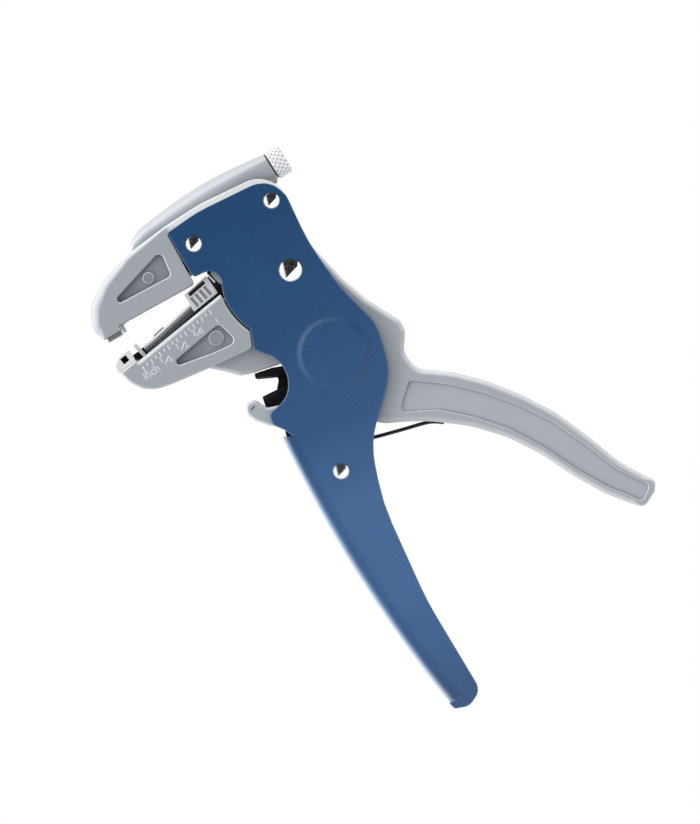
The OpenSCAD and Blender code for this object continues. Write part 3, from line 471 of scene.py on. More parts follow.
def makePaintedLightGroup():
    # Colour of a piece with painted light from its points' tone: a painted highlight on its rounded edges and
    # painted shade in its recesses.
    labels = ["Colour", "Edge", "Recess", "Tone", "Contrast"]
    group, given, output = newGroup("paintedLightColour", labels, ["Colour"])
    attribute = group.nodes.new("ShaderNodeAttribute")
    attribute.attribute_name = "paintedLightTone"
    value = attribute.outputs["Fac"]
    bright = mathNode(group, "MAXIMUM", value, 0.0, clamp=True)
    dark = mathNode(group, "MULTIPLY", value, -1.0, clamp=True)
    colour = mixColour(group, dark, mixColour(group, bright, given["Colour"], given["Edge"]), given["Recess"])
    swing = mathNode(group, "MULTIPLY", mathNode(group, "SUBTRACT", given["Tone"], 0.5), given["Contrast"])
    factor = group.nodes.new("ShaderNodeCombineColor")
    feed(group, factor, dict.fromkeys(range(3), mathNode(group, "ADD", swing, 1.0)))
    feed(group, output, {"Colour": mixColour(group, 1.0, colour, factor.outputs[0], "MULTIPLY")})
    return group


grainGroup = makeGrainGroup()
paintedLightGroup = makePaintedLightGroup()


def addSkin(tree, shader, contrast, colour, edge, recess, size=900.0):
    # Colour with grain and the points' painted highlight and shade, as every material has it. The grain's
    # node is given back.
    grain = useGroup(tree, grainGroup, Size=size)
    worn = useGroup(tree, paintedLightGroup, Colour=colour, Edge=edge, Recess=recess, Tone=grain.outputs["Tone"],
                    Contrast=contrast)
    feed(tree, shader, {"Base Color": worn.outputs[0]})
    return grain


def castMaterial(name, colour, roughness, edge, recess, contrast, relief):
    material, tree, shader = nodeTree(name)
    grain = addSkin(tree, shader, contrast, colour, edge, recess, size=1400.0)
    feed(tree, shader, {"Metallic": 0.0, "Roughness": roughness})
    bump(tree, shader, grain.outputs["Height"], relief, 0.00008)
    return material


def metalMaterial(name, colour, roughness, edge=None, recess=None, contrast=0.15, relief=0.1, metallic=1.0):
    # Bare metal with uneven polish.
    material, tree, shader = nodeTree(name)
    grain = addSkin(tree, shader, contrast, colour, edge or colour, recess or colour)
    polish = remap(tree, grain.outputs["Tone"], 0.3, 0.7, roughness * 0.8, roughness * 1.2)
    feed(tree, shader, {"Metallic": metallic, "Roughness": polish})
    bump(tree, shader, grain.outputs["Height"], relief, 0.00005)
    return material


paint = {
    # Place along the tool in metres from the handle's pivot, and the colour there.
    "along": [(-0.105, (59, 90, 132)), (-0.070, (65, 104, 151)), (-0.042, (65, 104, 151)),
              (-0.019, (47, 86, 132)), (0.0, (39, 81, 127)), (0.020, (28, 75, 121)), (0.046, (17, 69, 115))],
    # The edge colour is a painted highlight on rounded edges, the recess colour painted shade in recesses.
    "edge": (225, 231, 240), "recess": (16, 40, 78), "pebble": 950.0, "contrast": 0.42,
    "relief": (0.6, 0.0004), "fading": (-0.01, -0.05, 1.0, 0.4),
    "gloss": {"Roughness": 0.42, "Specular IOR Level": 0.3, "Coat Weight": 0.15, "Coat Roughness": 0.3},
}


def blueMaterial():
    # Gloss paint: pebbled and darker on the head, smoother and lighter down the handle.
    material, tree, shader = nodeTree("bluePaint")
    split = tree.nodes.new("ShaderNodeSeparateXYZ")
    feed(tree, split, {0: objectPlace(tree)})
    lowest, highest = paint["along"][0][0], paint["along"][-1][0]
    ramp = tree.nodes.new("ShaderNodeValToRGB")
    feed(tree, ramp, {0: remap(tree, split.outputs[1], lowest, highest, 0.0, 1.0)})
    stops = ramp.color_ramp.elements
    for place, colour in paint["along"]:
        share = (place - lowest) / (highest - lowest)
        stop = stops[0] if share == 0 else stops[-1] if share == 1 else stops.new(share)
        stop.color = linear(colour)
    grain = addSkin(tree, shader, paint["contrast"], ramp.outputs[0], paint["edge"], paint["recess"],
                    paint["pebble"])
    feed(tree, shader, paint["gloss"])
    fading = remap(tree, split.outputs[1], *paint["fading"])
    bump(tree, shader, mathNode(tree, "MULTIPLY", grain.outputs["Height"], fading), *paint["relief"])
    return material


# Colours of the rail: bright and tooth are painted highlights, black is painted shadow.
rackPattern = {
    "at": (-30.1, 33.3), "slope": 12.8, "start": -18.3, "strip": 0.68, "teethLow": 1.5, "pitch": 0.66,
    "bright": (255, 255, 255), "dark": (84, 88, 93), "tooth": (176, 181, 186), "black": (12, 12, 13),
}


def stepMask(tree, value, at, width):
    # 0 below the place, 1 above it, both given in millimetres.
    return remap(tree, value, (at - width / 2) * toMetres, (at + width / 2) * toMetres, 0.0, 1.0)


def rackMaterial():
    # The rail's side: a bright strip on top as a painted highlight, then a dark band whose upper part has
    # fine teeth painted light as a painted highlight, and black painted shadow beyond the rail's start.
    # Distances along and across the rail are dot products of the place with the rail's directions.
    material, tree, shader = nodeTree("rackSteel")
    place, at = objectPlace(tree), np.array(rackPattern["at"])
    along, across = (
        mathNode(tree, "SUBTRACT", vectorNode(tree, "DOT_PRODUCT", place, (*line, 0)), line @ at * toMetres)
        for line in heading(rackPattern["slope"]))
    bright, black, soft = rackPattern["bright"], rackPattern["black"], 0.15
    strip = stepMask(tree, across, -rackPattern["strip"], soft)
    teeth = stepMask(tree, across, -rackPattern["teethLow"], soft)
    band = mathNode(tree, "MULTIPLY", teeth, mathNode(tree, "SUBTRACT", 1.0, strip))
    saw = mathNode(tree, "FRACT", mathNode(tree, "DIVIDE", along, rackPattern["pitch"] * toMetres))
    wave = mathNode(tree, "ABSOLUTE", mathNode(tree, "SUBTRACT", saw, 0.5))
    tooth = mathNode(tree, "MULTIPLY", remap(tree, wave, 0.2, 0.3, 1.0, 0.0), band)
    colour = mixColour(tree, strip, rackPattern["dark"], bright)
    colour = mixColour(tree, tooth, colour, rackPattern["tooth"])
    past = stepMask(tree, along, rackPattern["start"] + 0.7, 0.1)
    addSkin(tree, shader, 0.2, mixColour(tree, past, black, colour), bright, black)
    feed(tree, shader, {"Roughness": 0.42})
    bump(tree, shader, tooth, 0.5, 0.00008)
    return material


# After a material's base colour and roughness come the colour of its painted highlight on edges and the
# colour of its painted shade in recesses.
greyCast = castMaterial("greyCasting", (157, 163, 170), 0.45, (226, 230, 233), (62, 66, 74), 0.12, 0.18)
handleCast = castMaterial("handleCasting", (166, 172, 179), 0.42, (230, 234, 237), (96, 101, 109), 0.08, 0.12)
bluePaint = blueMaterial()
plainSteel = metalMaterial("plainSteel", (150, 154, 158), 0.34)
darkSteel = metalMaterial("darkSteel", (122, 127, 133), 0.4, metallic=0.1)
chrome = metalMaterial("polishedChrome", (236, 237, 239), 0.07, contrast=0.04, relief=0.01)
dullChrome = metalMaterial("dullChrome", (232, 234, 237), 0.22, contrast=0.05, relief=0.02)
# Near-white steel with little metal in it: its light colour is a painted reflection of the white room, in
# place of polished steel.
paintedReflectionSteel = metalMaterial("paintedReflectionSteel", (222, 225, 228), 0.34, (246, 247, 249), (50, 53, 58), relief=0.05,
                            metallic=0.1)
blackSteel = metalMaterial("blackSteel", (24, 25, 28), 0.42, (60, 62, 66), metallic=0.3)
# Black that stands in for shade: painted shadow in hollows and between parts.
paintedShadowBlack = metalMaterial("paintedShadowBlack", (10, 10, 11), 0.75, metallic=0.0)
# Darker grey of a casting in shadow: painted shade.
shadedGrey = metalMaterial("shadedGrey", (88, 91, 96), 0.5, metallic=0.2)
rackSteel = rackMaterial()
print("stage: materials")


# Blue sheet body.
body = {
    "foldTop": (-25.65, -14.6), "foldEnd": (-21.9, -105.3), "foldRadius": 3.0, "bow": 2.6, "sheet": 1.5,
    "foldLap": 2.0, "foldRise": 0.012, "cheekLap": 0.8, "topCut": 0.19, "topSlant": 0.42,
    "notch": (-24.0, 3.4), "notchRadius": 9.3, "stopNotch": (-21.6, 35.6), "stopRadius": 3.95,
    # shine is a painted highlight on the cheeks' rounded edges, discTone painted light and shade on the disc,
    # foldTone painted shade and highlight round the fold.
    "shoulder": 20.9, "round": 0.35, "shine": 0.17,
    "disc": [(0.0, 0.0), (0.6, 0.05), (1.1, 0.2), (1.5, 0.42), (1.9, 0.62), (2.2, 0.75), (2.6, 0.8)],
    "discFoot": 11.4, "discLight": (-0.503, 0.868), "discTone": (0.3, 0.07),
    "foldTone": ([0, 9, 25, 38, 50, 60, 70, 80, 90], [0.06, 0.9, 0.82, 0.58, 0.34, 0.14, -0.02, -0.2, -0.26]),
}


def foldArc():
    # The fold runs along an arc: its centre, its radius and, in degrees, its middle and half its angle.
    top, end = np.array(body["foldTop"]), np.array(body["foldEnd"])
    chord = np.linalg.norm(end - top)
    radius = (chord * chord / 4 + body["bow"] ** 2) / (2 * body["bow"])
    side = unit(np.array([top[1] - end[1], end[0] - top[0]]))
    centre = (top + end) / 2 + side * (radius - body["bow"])
    middle, half = math.atan2(-side[1], -side[0]), math.asin(chord / 2 / radius)
    return centre, radius, math.degrees(middle), math.degrees(half)


foldCentre, foldBig, foldMiddle, foldHalf = foldArc()


def cheekCorners():
    corners = [[-24.4, 44, 0], [-24.4, 54.7, 0.6], [-14, 55.7, 40], [11.8, 53.9, 8.4], [9.9, 32, 60],
               [11.3, 16, 40], [15.2, 1.5, 13], [12.6, -10.2, 16], [9.4, -15.4, 16], [-3.6, -28, 26],
               [-9.3, -45, 60], [-12.4, -76.3, 90], [-11.9, -106.3, 4], [-17, -108.79, 4],
               [-21.2, -107.3, 1.2], [-21.8, -105.1, 0]]
    edge, top = foldBig - body["foldRadius"] - body["cheekLap"], foldMiddle - foldHalf + body["topCut"]
    corners += arcCorners(foldCentre, edge, foldMiddle + foldHalf, top, 0.8)
    corners += [[-23.5, -12.2, 1], [-25.7, -9.3, 2.2], [-25.2, -6, 2], [-20.2, -4.9, 2]]
    corners += arcCorners(body["notch"], body["notchRadius"], -52, 50)
    corners += [[-19.5, 12.7, 0.6]]
    corners += arcCorners(jawPivot, body["shoulder"], 206, 171)
    corners += arcCorners(body["stopNotch"], body["stopRadius"], -38, 76, 8)
    return corners + [[-23.9, 39.7, 0.6], [-24.4, 41.2, 0.6]]


def addDisc(mesh, level, sign):
    # Low round step on the head. Its slope gets painted light: lighter towards the light and painted shade on
    # the far side.
    circle, height = arcCorners(handlePivot, body["discFoot"], 0, 357, 3), body["disc"][-1][1]
    farTone, nearTone = body["discTone"]
    rings = []
    for inset, rise in body["disc"]:
        flat = offsetOutline(circle, inset)
        lit = (flat / np.linalg.norm(flat, axis=1)[:, None]) @ np.array(body["discLight"])
        tone = math.sin(math.pi * rise / height) * (lit * np.where(lit > 0, nearTone, farTone))
        rings.append(addRing(mesh, flat, level + sign * rise, tone))
    addBands(mesh, rings, sign > 0)
    addCap(mesh, [rings[-1]], sign > 0)
    return rings[0]


def addFold(mesh):
    # The profile (distance from the arc's centre, level) is a rounded channel with a lap on each cheek.
    r, sheet, rise = body["foldRadius"], body["sheet"], body["foldRise"]
    low, high, base = levels["back"], levels["front"], foldBig - r
    lap = base - body["foldLap"]
    outer = np.vstack([arcPoints((base, low + r), r, -90, 0, 9), arcPoints((base, high - r), r, 0, 90, 9)])
    inner = np.vstack([arcPoints((base, high - r), r - sheet, 90, 0, 15),
                       arcPoints((base, low + r), r - sheet, 0, -90, 15)])
    outer[0, 1] -= rise
    outer[-1, 1] += rise
    profile = np.vstack([[lap, low - rise], outer, [lap, high + rise], [lap, high - sheet], inner,
                         [lap, low + sheet]])
    a = np.radians(np.linspace(foldMiddle + foldHalf, foldMiddle - foldHalf, 49))
    reach, level = profile.T
    grid = np.stack([foldCentre[0] + np.cos(a)[:, None] * reach, foldCentre[1] + np.sin(a)[:, None] * reach,
                     np.broadcast_to(level, (len(a), len(level)))], -1)
    # The top end is cut aslant: its points slide along the fold, further the further out they lie.
    tangent = unit(np.array([math.sin(a[-1]), -math.cos(a[-1])]))
    grid[-1, :, :2] += tangent * ((reach - base) * body["topSlant"])[:, None]
    # Round the bend the paint has painted shade, and a painted highlight where it turns away, on the front
    # more than at the back.
    bent = outer[:, 1] - np.clip(outer[:, 1], low + r, high - r)
    angle = np.zeros(len(profile))
    angle[1:len(outer) + 1] = np.degrees(np.arctan2(np.abs(bent), outer[:, 0] - base))
    tone = np.interp(angle, *body["foldTone"])
    tone = np.where((tone > 0) & (level < levels["mid"]), 0.3 * tone, tone)
    tone[[0, *range(len(outer) + 1, len(profile))]] = 0
    ids = addGrid(mesh, grid[:, ::-1], np.tile(tone[::-1], len(a)))
    # Each end is closed by quads between the profile's outer and inner points.
    for row, turn in ((ids[0, -2::-1], 1), (ids[-1, -2::-1], -1)):
        front, back = row[:len(outer) + 2], row[:len(outer) + 1:-1]
        back = back[np.round(np.linspace(0, len(back) - 1, len(front))).astype(int)]
        mesh["faces"].append(np.column_stack([front[:-1], front[1:], back[1:], back[:-1]])[:, ::turn])


def bodyPiece():
    mesh = newMesh()
    corners, edge, shine = cheekCorners(), body["round"], body["shine"]
    front = [addDisc(mesh, levels["front"], 1)]
    addPlate(mesh, corners, levels["innerFront"], levels["front"], 0.1, edge, 0.1, front, shine=shine)
    back = [addDisc(mesh, levels["back"], -1)]
    addPlate(mesh, corners, levels["back"], levels["innerBack"], edge, 0.1, 0.1, (), back, shine=shine)
    addFold(mesh)
    makePiece("bodyShell", mesh, bluePaint, "frame", ["body_shell"], 30)


bodyPiece()

# What shows inside the body: a black patch above the fold and a black plate behind the slider, both painted
# shade, then a liner and a clip.
trimPieces({
    "foldShadePatch": (paintedShadowBlack, "frame", "black_steel", [
        ([[-23.6, -12.6, 0.2], [-21.2, -12.9, 0.2], [-20.6, -16.4, 0.2], [-23.8, -16.9, 0.2],
          [-24.0, -14.2, 0.2]], 2.45, 9.0, 0.2, 0.2)]),
    "notchShadePlate": (paintedShadowBlack, "frame", "black_steel", [
        ([[-25.4, 41.6, 0.1], [-25.4, 45.0, 0.1], [-23.6, 45.0, 0.1], [-23.6, 41.6, 0.1]], 13.5, 15.2),
        ([[-20.2, 39.0, 0.1], [-20.25, 38.0, 0.1], [-20.7, 37.5, 0.1], [-20.38, 33.0, 0.1],
          [-20.3, 30.2, 0.1], [-16.5, 28.8, 0.2], [-15.6, 39.5, 0.2]], 13.1, 13.36)]),
    "notchLiner": (greyCast, "frame", "grey_casting", [
        ([[-19.4, 38.2, 0.2], [-19.1, 36.2, 0.2], [-18.45, 34.0, 0.2], [-15.8, 33.4, 0.2],
          [-15.7, 39.4, 0.2]], 13.3, 13.9, 0.05, 0.1)]),
    "notchClip": (paintedReflectionSteel, "frame", "plain_steel", [
        (tilted((-19.92, 36.8), 3.3, 0.5, -76.5, 0.15), 13.3, 14.2, 0.05, 0.15)],
        ((-19.2, 33.1), 0.45, 13.1, 13.22, 0.12)),
})
print("stage: body")


# Upper jaw.
upper = {
    "casting": [[-55.9, 36.8, 0.5, 0.48, 1.5], [-57.3, 40.8, 5, 0.48, 3.3], [-54.8, 47.2, 8, 0.48, 4.0],
                [-47.5, 51.8, 12, 0.48, 3.2], [-37.5, 55, 16, 0.48, 2.2], [-24.4, 56.6, 40, 0.48, 1.2],
                [-12, 57.2, 40], [12.9, 55.3, 9.6, 0.9], [10.6, 44.3, 0.8]],
    "mouth": [[-25, 37.8, 1], [-50.2, 38.2, 0.3], [-50.2, 36.8, 0.3]],
    "core": [[-50.2, 44.3, 0.3], [-50.2, 36.8, 0.3]],
    "seat": [[12.9, 55.3, 9.6, 0.9, 0.35], [10.6, 44.3, 0.1, 0.48, 0.2], [10.1, 44.3, 0, 0.48, 0.1],
             [11.3, 53.4, 6.5, 0.85, 0.05], [-14, 55.2, 40, 0.48, 0.1], [-24.65, 54.2, 0.6, 0.48, 0.3]],
    "pocket": [[-51.5, 44, 0.95], [-28.8, 51.1, 1.4], [-29.7, 43.3, 1.1]],
    "boss": {"at": (-35.7, 46), "r": 1.8, "h": 0.6}, "round": 0.7, "depth": 1.6, "shade": (-1, -0.38, 6.0),
    "stripFrom": (-24, 44, 16.2), "stripTone": 0.85, "tubeMouth": (11.45, 56.45, 8.8), "tubeTilt": 1.5,
    "tubeLength": 44.0, "tubeTip": 47.3, "mouthRadius": 4.1, "belly": 1.985, "bellyEnd": 0.88, "bore": 2.6,
    "tubeTone": ([0, 0.5, 0.76, 0.9, 1.0], [0.25, 0.3, 0.65, 0.1, -0.18]), "mouthTone": (0.3, 7.0),
    "web": ([[4, 54.5, 0.2], [11.35, 54.5, 0.2], [11.35, 52.3, 0.3], [10.75, 51.35, 0.3], [9.3, 51.6, 0.5],
             [4, 53.4, 0.2]], 5.6, 12.0, 0.15, 0.15),
}
tubeMouth = np.array(upper["tubeMouth"])
tubeAxis = np.array([*-heading(upper["tubeTilt"])[0], 0.0])


def tubeProfile():
    # Radius grows and shrinks along the tube as half a sine wave and ends in half an egg.
    length, mouth, bore = upper["tubeLength"], upper["mouthRadius"], upper["bore"]
    side = [(mouth + upper["belly"] * math.sin(math.pi * s), length * s)
            for s in np.linspace(0, 1, 33) if s < upper["bellyEnd"]]
    side = [(mouth - 0.3, 0.0), (mouth - 0.09, 0.08), (mouth, 0.3), *side[1:]]
    widest, start = side[-1]
    reach = upper["tubeTip"] - start
    egg = [(widest * math.cos(a), start + reach * math.sin(a)) for a in np.radians(np.arange(8, 90, 8))]
    return [(bore, 5.0), (bore, 0.2), (bore + 0.15, 0.0), *side, *egg, (0.02, upper["tubeTip"])]


def tubeTones(profile, count):
    # Painted shade beside the casting and a painted highlight on the shoulder; near the mouth the lower side
    # is painted lighter.
    around = roundAngles(count)
    tone = np.interp(np.abs(np.sin(around)), *upper["tubeTone"])
    tone = np.where(np.cos(around) > 0, tone, upper["tubeTone"][1][-1])
    lift, fade = upper["mouthTone"]
    near = np.exp(-((np.array(profile)[:, 1:] / fade) ** 2))
    return tone + lift * np.clip((0.1 - tone) / 0.28, 0, 1) * near


def upperJawPiece():
    mesh = newMesh()
    wall = upper["casting"][:7] + upper["seat"] + upper["mouth"]
    addSides(mesh, upper, wall, levels["back"] + 0.05, levels["front"] - 0.05)
    core = upper["casting"] + upper["core"]
    addPlate(mesh, core, levels["innerBack"] + 0.25, levels["innerFront"] - 0.25, 0.1, 0.1, 0.1)
    # The strip between cheek and tube gets a painted highlight all over.
    points, tone = np.vstack(mesh["points"]), np.concatenate(mesh["tone"])
    strip = (points > upper["stripFrom"]).all(1)
    mesh["tone"] = [np.where(strip, np.maximum(tone, upper["stripTone"]), tone)]
    profile, count = tubeProfile(), 96
    addLathe(mesh, tubeMouth, tubeAxis, profile, count, tone=tubeTones(profile, count))
    # A web closes the corner between the tube's mouth and the seat.
    addPlate(mesh, *upper["web"])
    makePiece("upperJaw", mesh, greyCast, "frame", ["upper_jaw"], 50)


upperJawPiece()


# Lower jaw.
lower = {
    "block": [[-19.78, 31.42, 0.4, 0.48, 1.6], [-50.35, 26.46, 0.3, 0.48, 1.9], [-50.9, 27.1, 0.2],
              [-56.7, 26.1, 0.4], [-55.6, 22.2, 6], [-53.3, 18.8, 6], [-50, 16.8, 8], [-45, 15.8, 12],
              [-34, 14.5, 20], [-21.3, 13.2, 0.8], [-19.6, 13.4, 0.8]],
    "shoulder": 21.35, "round": 0.7,
    "pocket": [[-45.45, 20.35, 0.95, 0.8], [-24.6, 24.15, 1.4], [-22.6, 17.0, 1.6], [-30, 17.7, 20]],
    "boss": {"at": (-27.35, 20.95), "r": 2.3, "h": 0.7}, "depth": 1.6, "shade": (-1, -0.28, 6.0),
    # The groove's floor runs both ways from a point, at a slope in degrees, to the tip.
    "floor": (-47.6, 23.7), "floorEnds": (26.0, -0.6), "floorSlope": 4.6,
    "tip": [[-49.2, 25.9, 0.2], [-50.9, 27.05, 0.2]],
    "belly": [[-24, 29.4, 0], [-13.5, 30.8, 8], [1.3, 32.2, 0], [5.7, 27.3, 0], [3.1, 21.5, 3],
              [-0.2, 14, 3]],
    "bellyEnd": [[-13, 4.7, 1.5], [-17.4, 5.6, 3], [-23.2, 6.8, 4], [-26.8, 8, 3], [-30, 11.2, 6],
                 [-34, 14.8, 3], [-35, 19, 0]],
    "bellyLow": 5.3, "bellyHigh": 12.3, "bellyRound": 1.4, "handleHollow": 10.7, "hub": 5, "hubBore": 3.06,
}


def lowerJawPiece():
    mesh = newMesh()
    block = lower["block"] + arcCorners(jawPivot, lower["shoulder"], 206.5, 173.3)
    addSides(mesh, lower, block, levels["back"], levels["front"])
    along, floor = heading(lower["floorSlope"])[0], np.array(lower["floor"])
    core = [[*(floor + along * end), 0.2] for end in lower["floorEnds"]] + lower["tip"]
    addPlate(mesh, core + lower["block"][3:] + [[-20.0, 20.0, 0]], levels["grooveLow"] - 0.05,
             levels["grooveHigh"] + 0.05, flat=0.1)
    low, high, bore = lower["bellyLow"], lower["bellyHigh"], lower["hubBore"]
    belly = lower["belly"] + arcCorners(handlePivot, lower["handleHollow"], 94, 138) + lower["bellyEnd"]
    # The belly's faces are painted lighter: painted light.
    addPlate(mesh, belly, low, high, lower["bellyRound"], lower["bellyRound"], 0.25, faceTone=0.3)
    addLathe(mesh, (*jawPivot, 0), upward, drumProfile(bore, lower["hub"], low, high) + [(bore, low)], 64)
    makePiece("lowerJaw", mesh, greyCast, "lower_jaw", ["lower_jaw"], 50)


lowerJawPiece()

# Black lip along the groove's back wall and a black plate by the grip block, both painted shade, a step
# beside them in a grey of painted shade, and a bump on the rail.
trimPieces({
    "grooveShadeLip": (paintedShadowBlack, "lower_jaw", "black_steel", [
        ([[-46.9, 25.4, 0], [-46.9, 27.4, 0], [-20.3, 33.4, 0], [-20.3, 30.3, 0]], 4.15, 4.5)]),
    "tipShadePlate": (paintedShadowBlack, "lower_jaw", "black_steel", [
        ([[-50.9, 27.5, 0.1], [-50.9, 28.8, 0.1], [-49.1, 29.0, 0.1], [-48.65, 27.1, 0.1],
          [-49.4, 26.3, 0.1]], 4.3, 12.4)]),
    "tipShadeStep": (shadedGrey, "lower_jaw", "grey_casting", [
        ([[-50.9, 26.2, 0.1], [-50.9, 27.7, 0.1], [-49.4, 26.7, 0.1], [-48.5, 26.3, 0.1], [-48.4, 25.0, 0.1],
          [-50.3, 24.6, 0.1]], 4.3, 12.8, 0.05, 0.15)]),
    "railBump": (darkSteel, "lower_carriage", "plain_steel", [
        ([[-43.4, 30.0, 0.1], [-42.6, 30.9, 0.1], [-39.4, 31.6, 0.1], [-38.5, 31.0, 0.1]],
         8.0, 9.6, 0.05, 0.1, 0.02)]),
})


# Ruler on the lower jaw.
ruler = {
    "ticks": ((-50.0, 24.4), (-25.0, 28.9)), "count": 17, "lengths": (1.5, 0.9), "width": 0.3, "lean": -87.0,
    "foot": ((-49.95, 22.35), 0.75, 0.5, 10), "slashes": [(-42.8, 22.45), (-36.7, 23.65), (-30.7, 24.85)],
    "slash": (2.6, 0.26, 42.0), "rings": [(-0.16, -0.03), (-0.08, 0.06), (0.04, 0.1)],
}
# Text, place, size and turn in degrees.
words = {
    "wordInch": ("inch", (-48.6, 21.65), 3.35, 4), "quarterTop": ("1", (-44.4, 23.2), 2.6, 5),
    "quarterLow": ("4", (-42.0, 22.0), 2.6, 5), "halfTop": ("1", (-38.3, 24.3), 2.6, 5),
    "halfLow": ("2", (-35.95, 23.5), 2.6, 5), "threeTop": ("3", (-32.2, 25.4), 2.6, 5),
    "threeLow": ("4", (-30.0, 24.6), 2.6, 5), "wholeOne": ("1", (-24.55, 25.0), 2.3, 5),
}


def markPiece(name, mesh):
    makePiece(name, mesh, greyCast, "lower_jaw", sharp=50)


def reliefTone(side):
    # Raised marks get painted light: lighter on top, most of all towards the light, and painted shade on the
    # far side.
    return np.clip(0.5 + 0.75 * side, -0.5, 0.9)


def addMark(mesh, *bar):
    # Raised mark on the jaw's face: a low bar with sloping sides.
    rings = []
    for inset, rise in ruler["rings"]:
        flat = offsetOutline(tilted(*bar), inset)
        rings.append(addRing(mesh, flat, levels["front"] + rise, reliefTone(litSide(flat))))
    addBands(mesh, rings)
    addCap(mesh, [rings[-1]])


def rulerPiece():
    # Ticks at even steps along the jaw's edge, long and short in turn, and the slashes of the fractions.
    mesh = newMesh()
    along = heading(ruler["lean"])[0]
    for i, place in enumerate(np.linspace(*ruler["ticks"], ruler["count"])):
        length = ruler["lengths"][i % 2]
        addMark(mesh, place + along * length / 2, length, ruler["width"], ruler["lean"])
    addMark(mesh, *ruler["foot"])
    for at in ruler["slashes"]:
        addMark(mesh, at, *ruler["slash"])
    markPiece("rulerTicks", mesh)


rulerPiece()


def rulerWord(name, text, at, size, turn):
    curve = bpy.data.curves.new(name, "FONT")
    curve.body, curve.size, curve.extrude = text, size, 0.01
    curve.bevel_depth, curve.offset = 0.06, 0.05
    curve.align_x, curve.align_y = "CENTER", "CENTER"
    holder = newObject(name + "Curve", curve)
    bpy.context.view_layer.update()
    flat = bpy.data.meshes.new_from_object(holder.evaluated_get(bpy.context.evaluated_depsgraph_get()))
    bpy.data.objects.remove(holder)
    points, normals = readVectors(flat.vertices, "co"), readVectors(flat.vertices, "normal")
    along, side = heading(turn)
    toLight = np.array([along @ lightFrom, side @ lightFrom])
    places = np.array(at) + points[:, :1] * along + points[:, 1:2] * side
    mesh = newMesh()
    # The letters get painted light and shade by how their slopes face the light.
    addRing(mesh, places, levels["front"] + points[:, 2], reliefTone((normals[:, :2] @ toLight) * 1.3))
    mesh["faces"] = [np.array([list(p.vertices)]) for p in flat.polygons]
    bpy.data.meshes.remove(flat)
    markPiece(name, mesh)


for name, word in words.items():
    rulerWord(name, *word)
print("stage: jaws")


# Rear handle.
handle = {
    "top": [[-0.2, 32.8, 0.3], [8.2, 32.8, 0.3], [10.5, 29, 4], [13.2, 17.6, 30], [16.1, 9.3, 12],
            [21.7, -1.4, 3], [21.4, -4.8, 3], [17.9, -10, 5], [18.7, -16, 5]],
    "bottom": [[8.2, -27.7, 6], [2.8, -25.2, 8], [-5.5, -18, 5], [-8.9, -9.5, 3]],
    "neck": [[3, 14.6, 5], [6.1, 22.2, 8], [6.85, 27.2, 6]], "neckHollow": 9.4,
    # Along the grip: share of its length, its middle and half its width.
    "grip": [(0, 0.8, 7.8), (0.16, 3.1, 7.05), (0.32, 3.85, 6.5), (0.485, 3.05, 6.4), (0.65, 0.6, 6.1),
             (0.81, -1.6, 5.1), (0.92, -1.8, 4.6)],
    "angle": -53.0, "from": 34.0, "length": 68.0, "thick": 10.4, "round": 1.6, "panelDepth": 0.8,
    "margins": (3.2, 2.2), "shade": (0, 0.08, 5.0), "hub": 9.2, "hubStep": 0.85,
    "hookLow": 8.85, "hookHigh": 14.55, "hookRound": (1.1, 0.9),
    "slit": ((-28.3, -2.1), 1.6, 0.42, 18), "slitDepth": 0.6,
    "hook": [[-29.9, 0, 1.9], [-26.6, 0, 1.9], [-24.7, -4, 1.6], [-20.5, -5.4, 6], [-12, -4.8, 4],
             [-4, -3, 0], [-2, -8.6, 0], [-12, -10.4, 6], [-23, -11.3, 5], [-26.5, -9.1, 4],
             [-29.4, -5.8, 3], [-30.9, -2.8, 2.4]],
    # The ears that hold the draw pin and the closing pin, each twice, with the levels of both.
    "ears": [([[-0.2, 44, 2.9], [6.2, 44, 2.9], [8.9, 37, 6], [10.3, 30, 0], [6.4, 30, 0], [6.2, 31.6, 3],
               [0, 36.4, 2.4]], (2.6, 5.05), (12.55, 15.0)),
             ([[-9, 0, 0], [-13.3, 9.6, 3.4], [-12.4, 15.6, 3.4], [-5.8, 15.2, 3.4], [4, 8.4, 0]],
              (2.6, 4.9), (12.7, 15.0))],
}


def onGrip(share, across):
    along, side = heading(handle["angle"])
    return along * (handle["from"] + share * handle["length"]) + side * across


def gripCorners():
    grip = handle["grip"]
    corners = handle["top"] + [[*onGrip(f, m + h), 26] for f, m, h in grip]
    corners += [[*onGrip(0.985, 2.7), 2, 0.48, 0.6], [*onGrip(1, -0.4), 1.2, 0.48, 0.6],
                [*onGrip(0.985, -6), 2.4, 0.48, 0.4]]
    corners += [[*onGrip(f, m - h), 26] for f, m, h in grip[::-1]]
    hollow = arcCorners(handlePivot, handle["neckHollow"], 180, 96)
    return corners + handle["bottom"] + hollow + handle["neck"]


def panelCorners():
    # Beside the panel a margin is left, which gets narrower from the head to the grip's end.
    grip, (outer, inner) = handle["grip"], handle["margins"]
    corners = [[15.2, -17.9, 1.2]]
    corners += [[*onGrip(f, m + h - outer * (1.25 - 0.65 * f)), 14] for f, m, h in grip]
    corners += [[*onGrip(0.967, 1), 2.6], [*onGrip(0.967, -4.6), 2.6]]
    corners += [[*onGrip(f, m - h + inner * (1 + 0.75 * (1 - f) ** 4)), 14] for f, m, h in grip[::-1]]
    return corners + [[8.4, -24.6, 1.2], [10.9, -21.7, 4]]


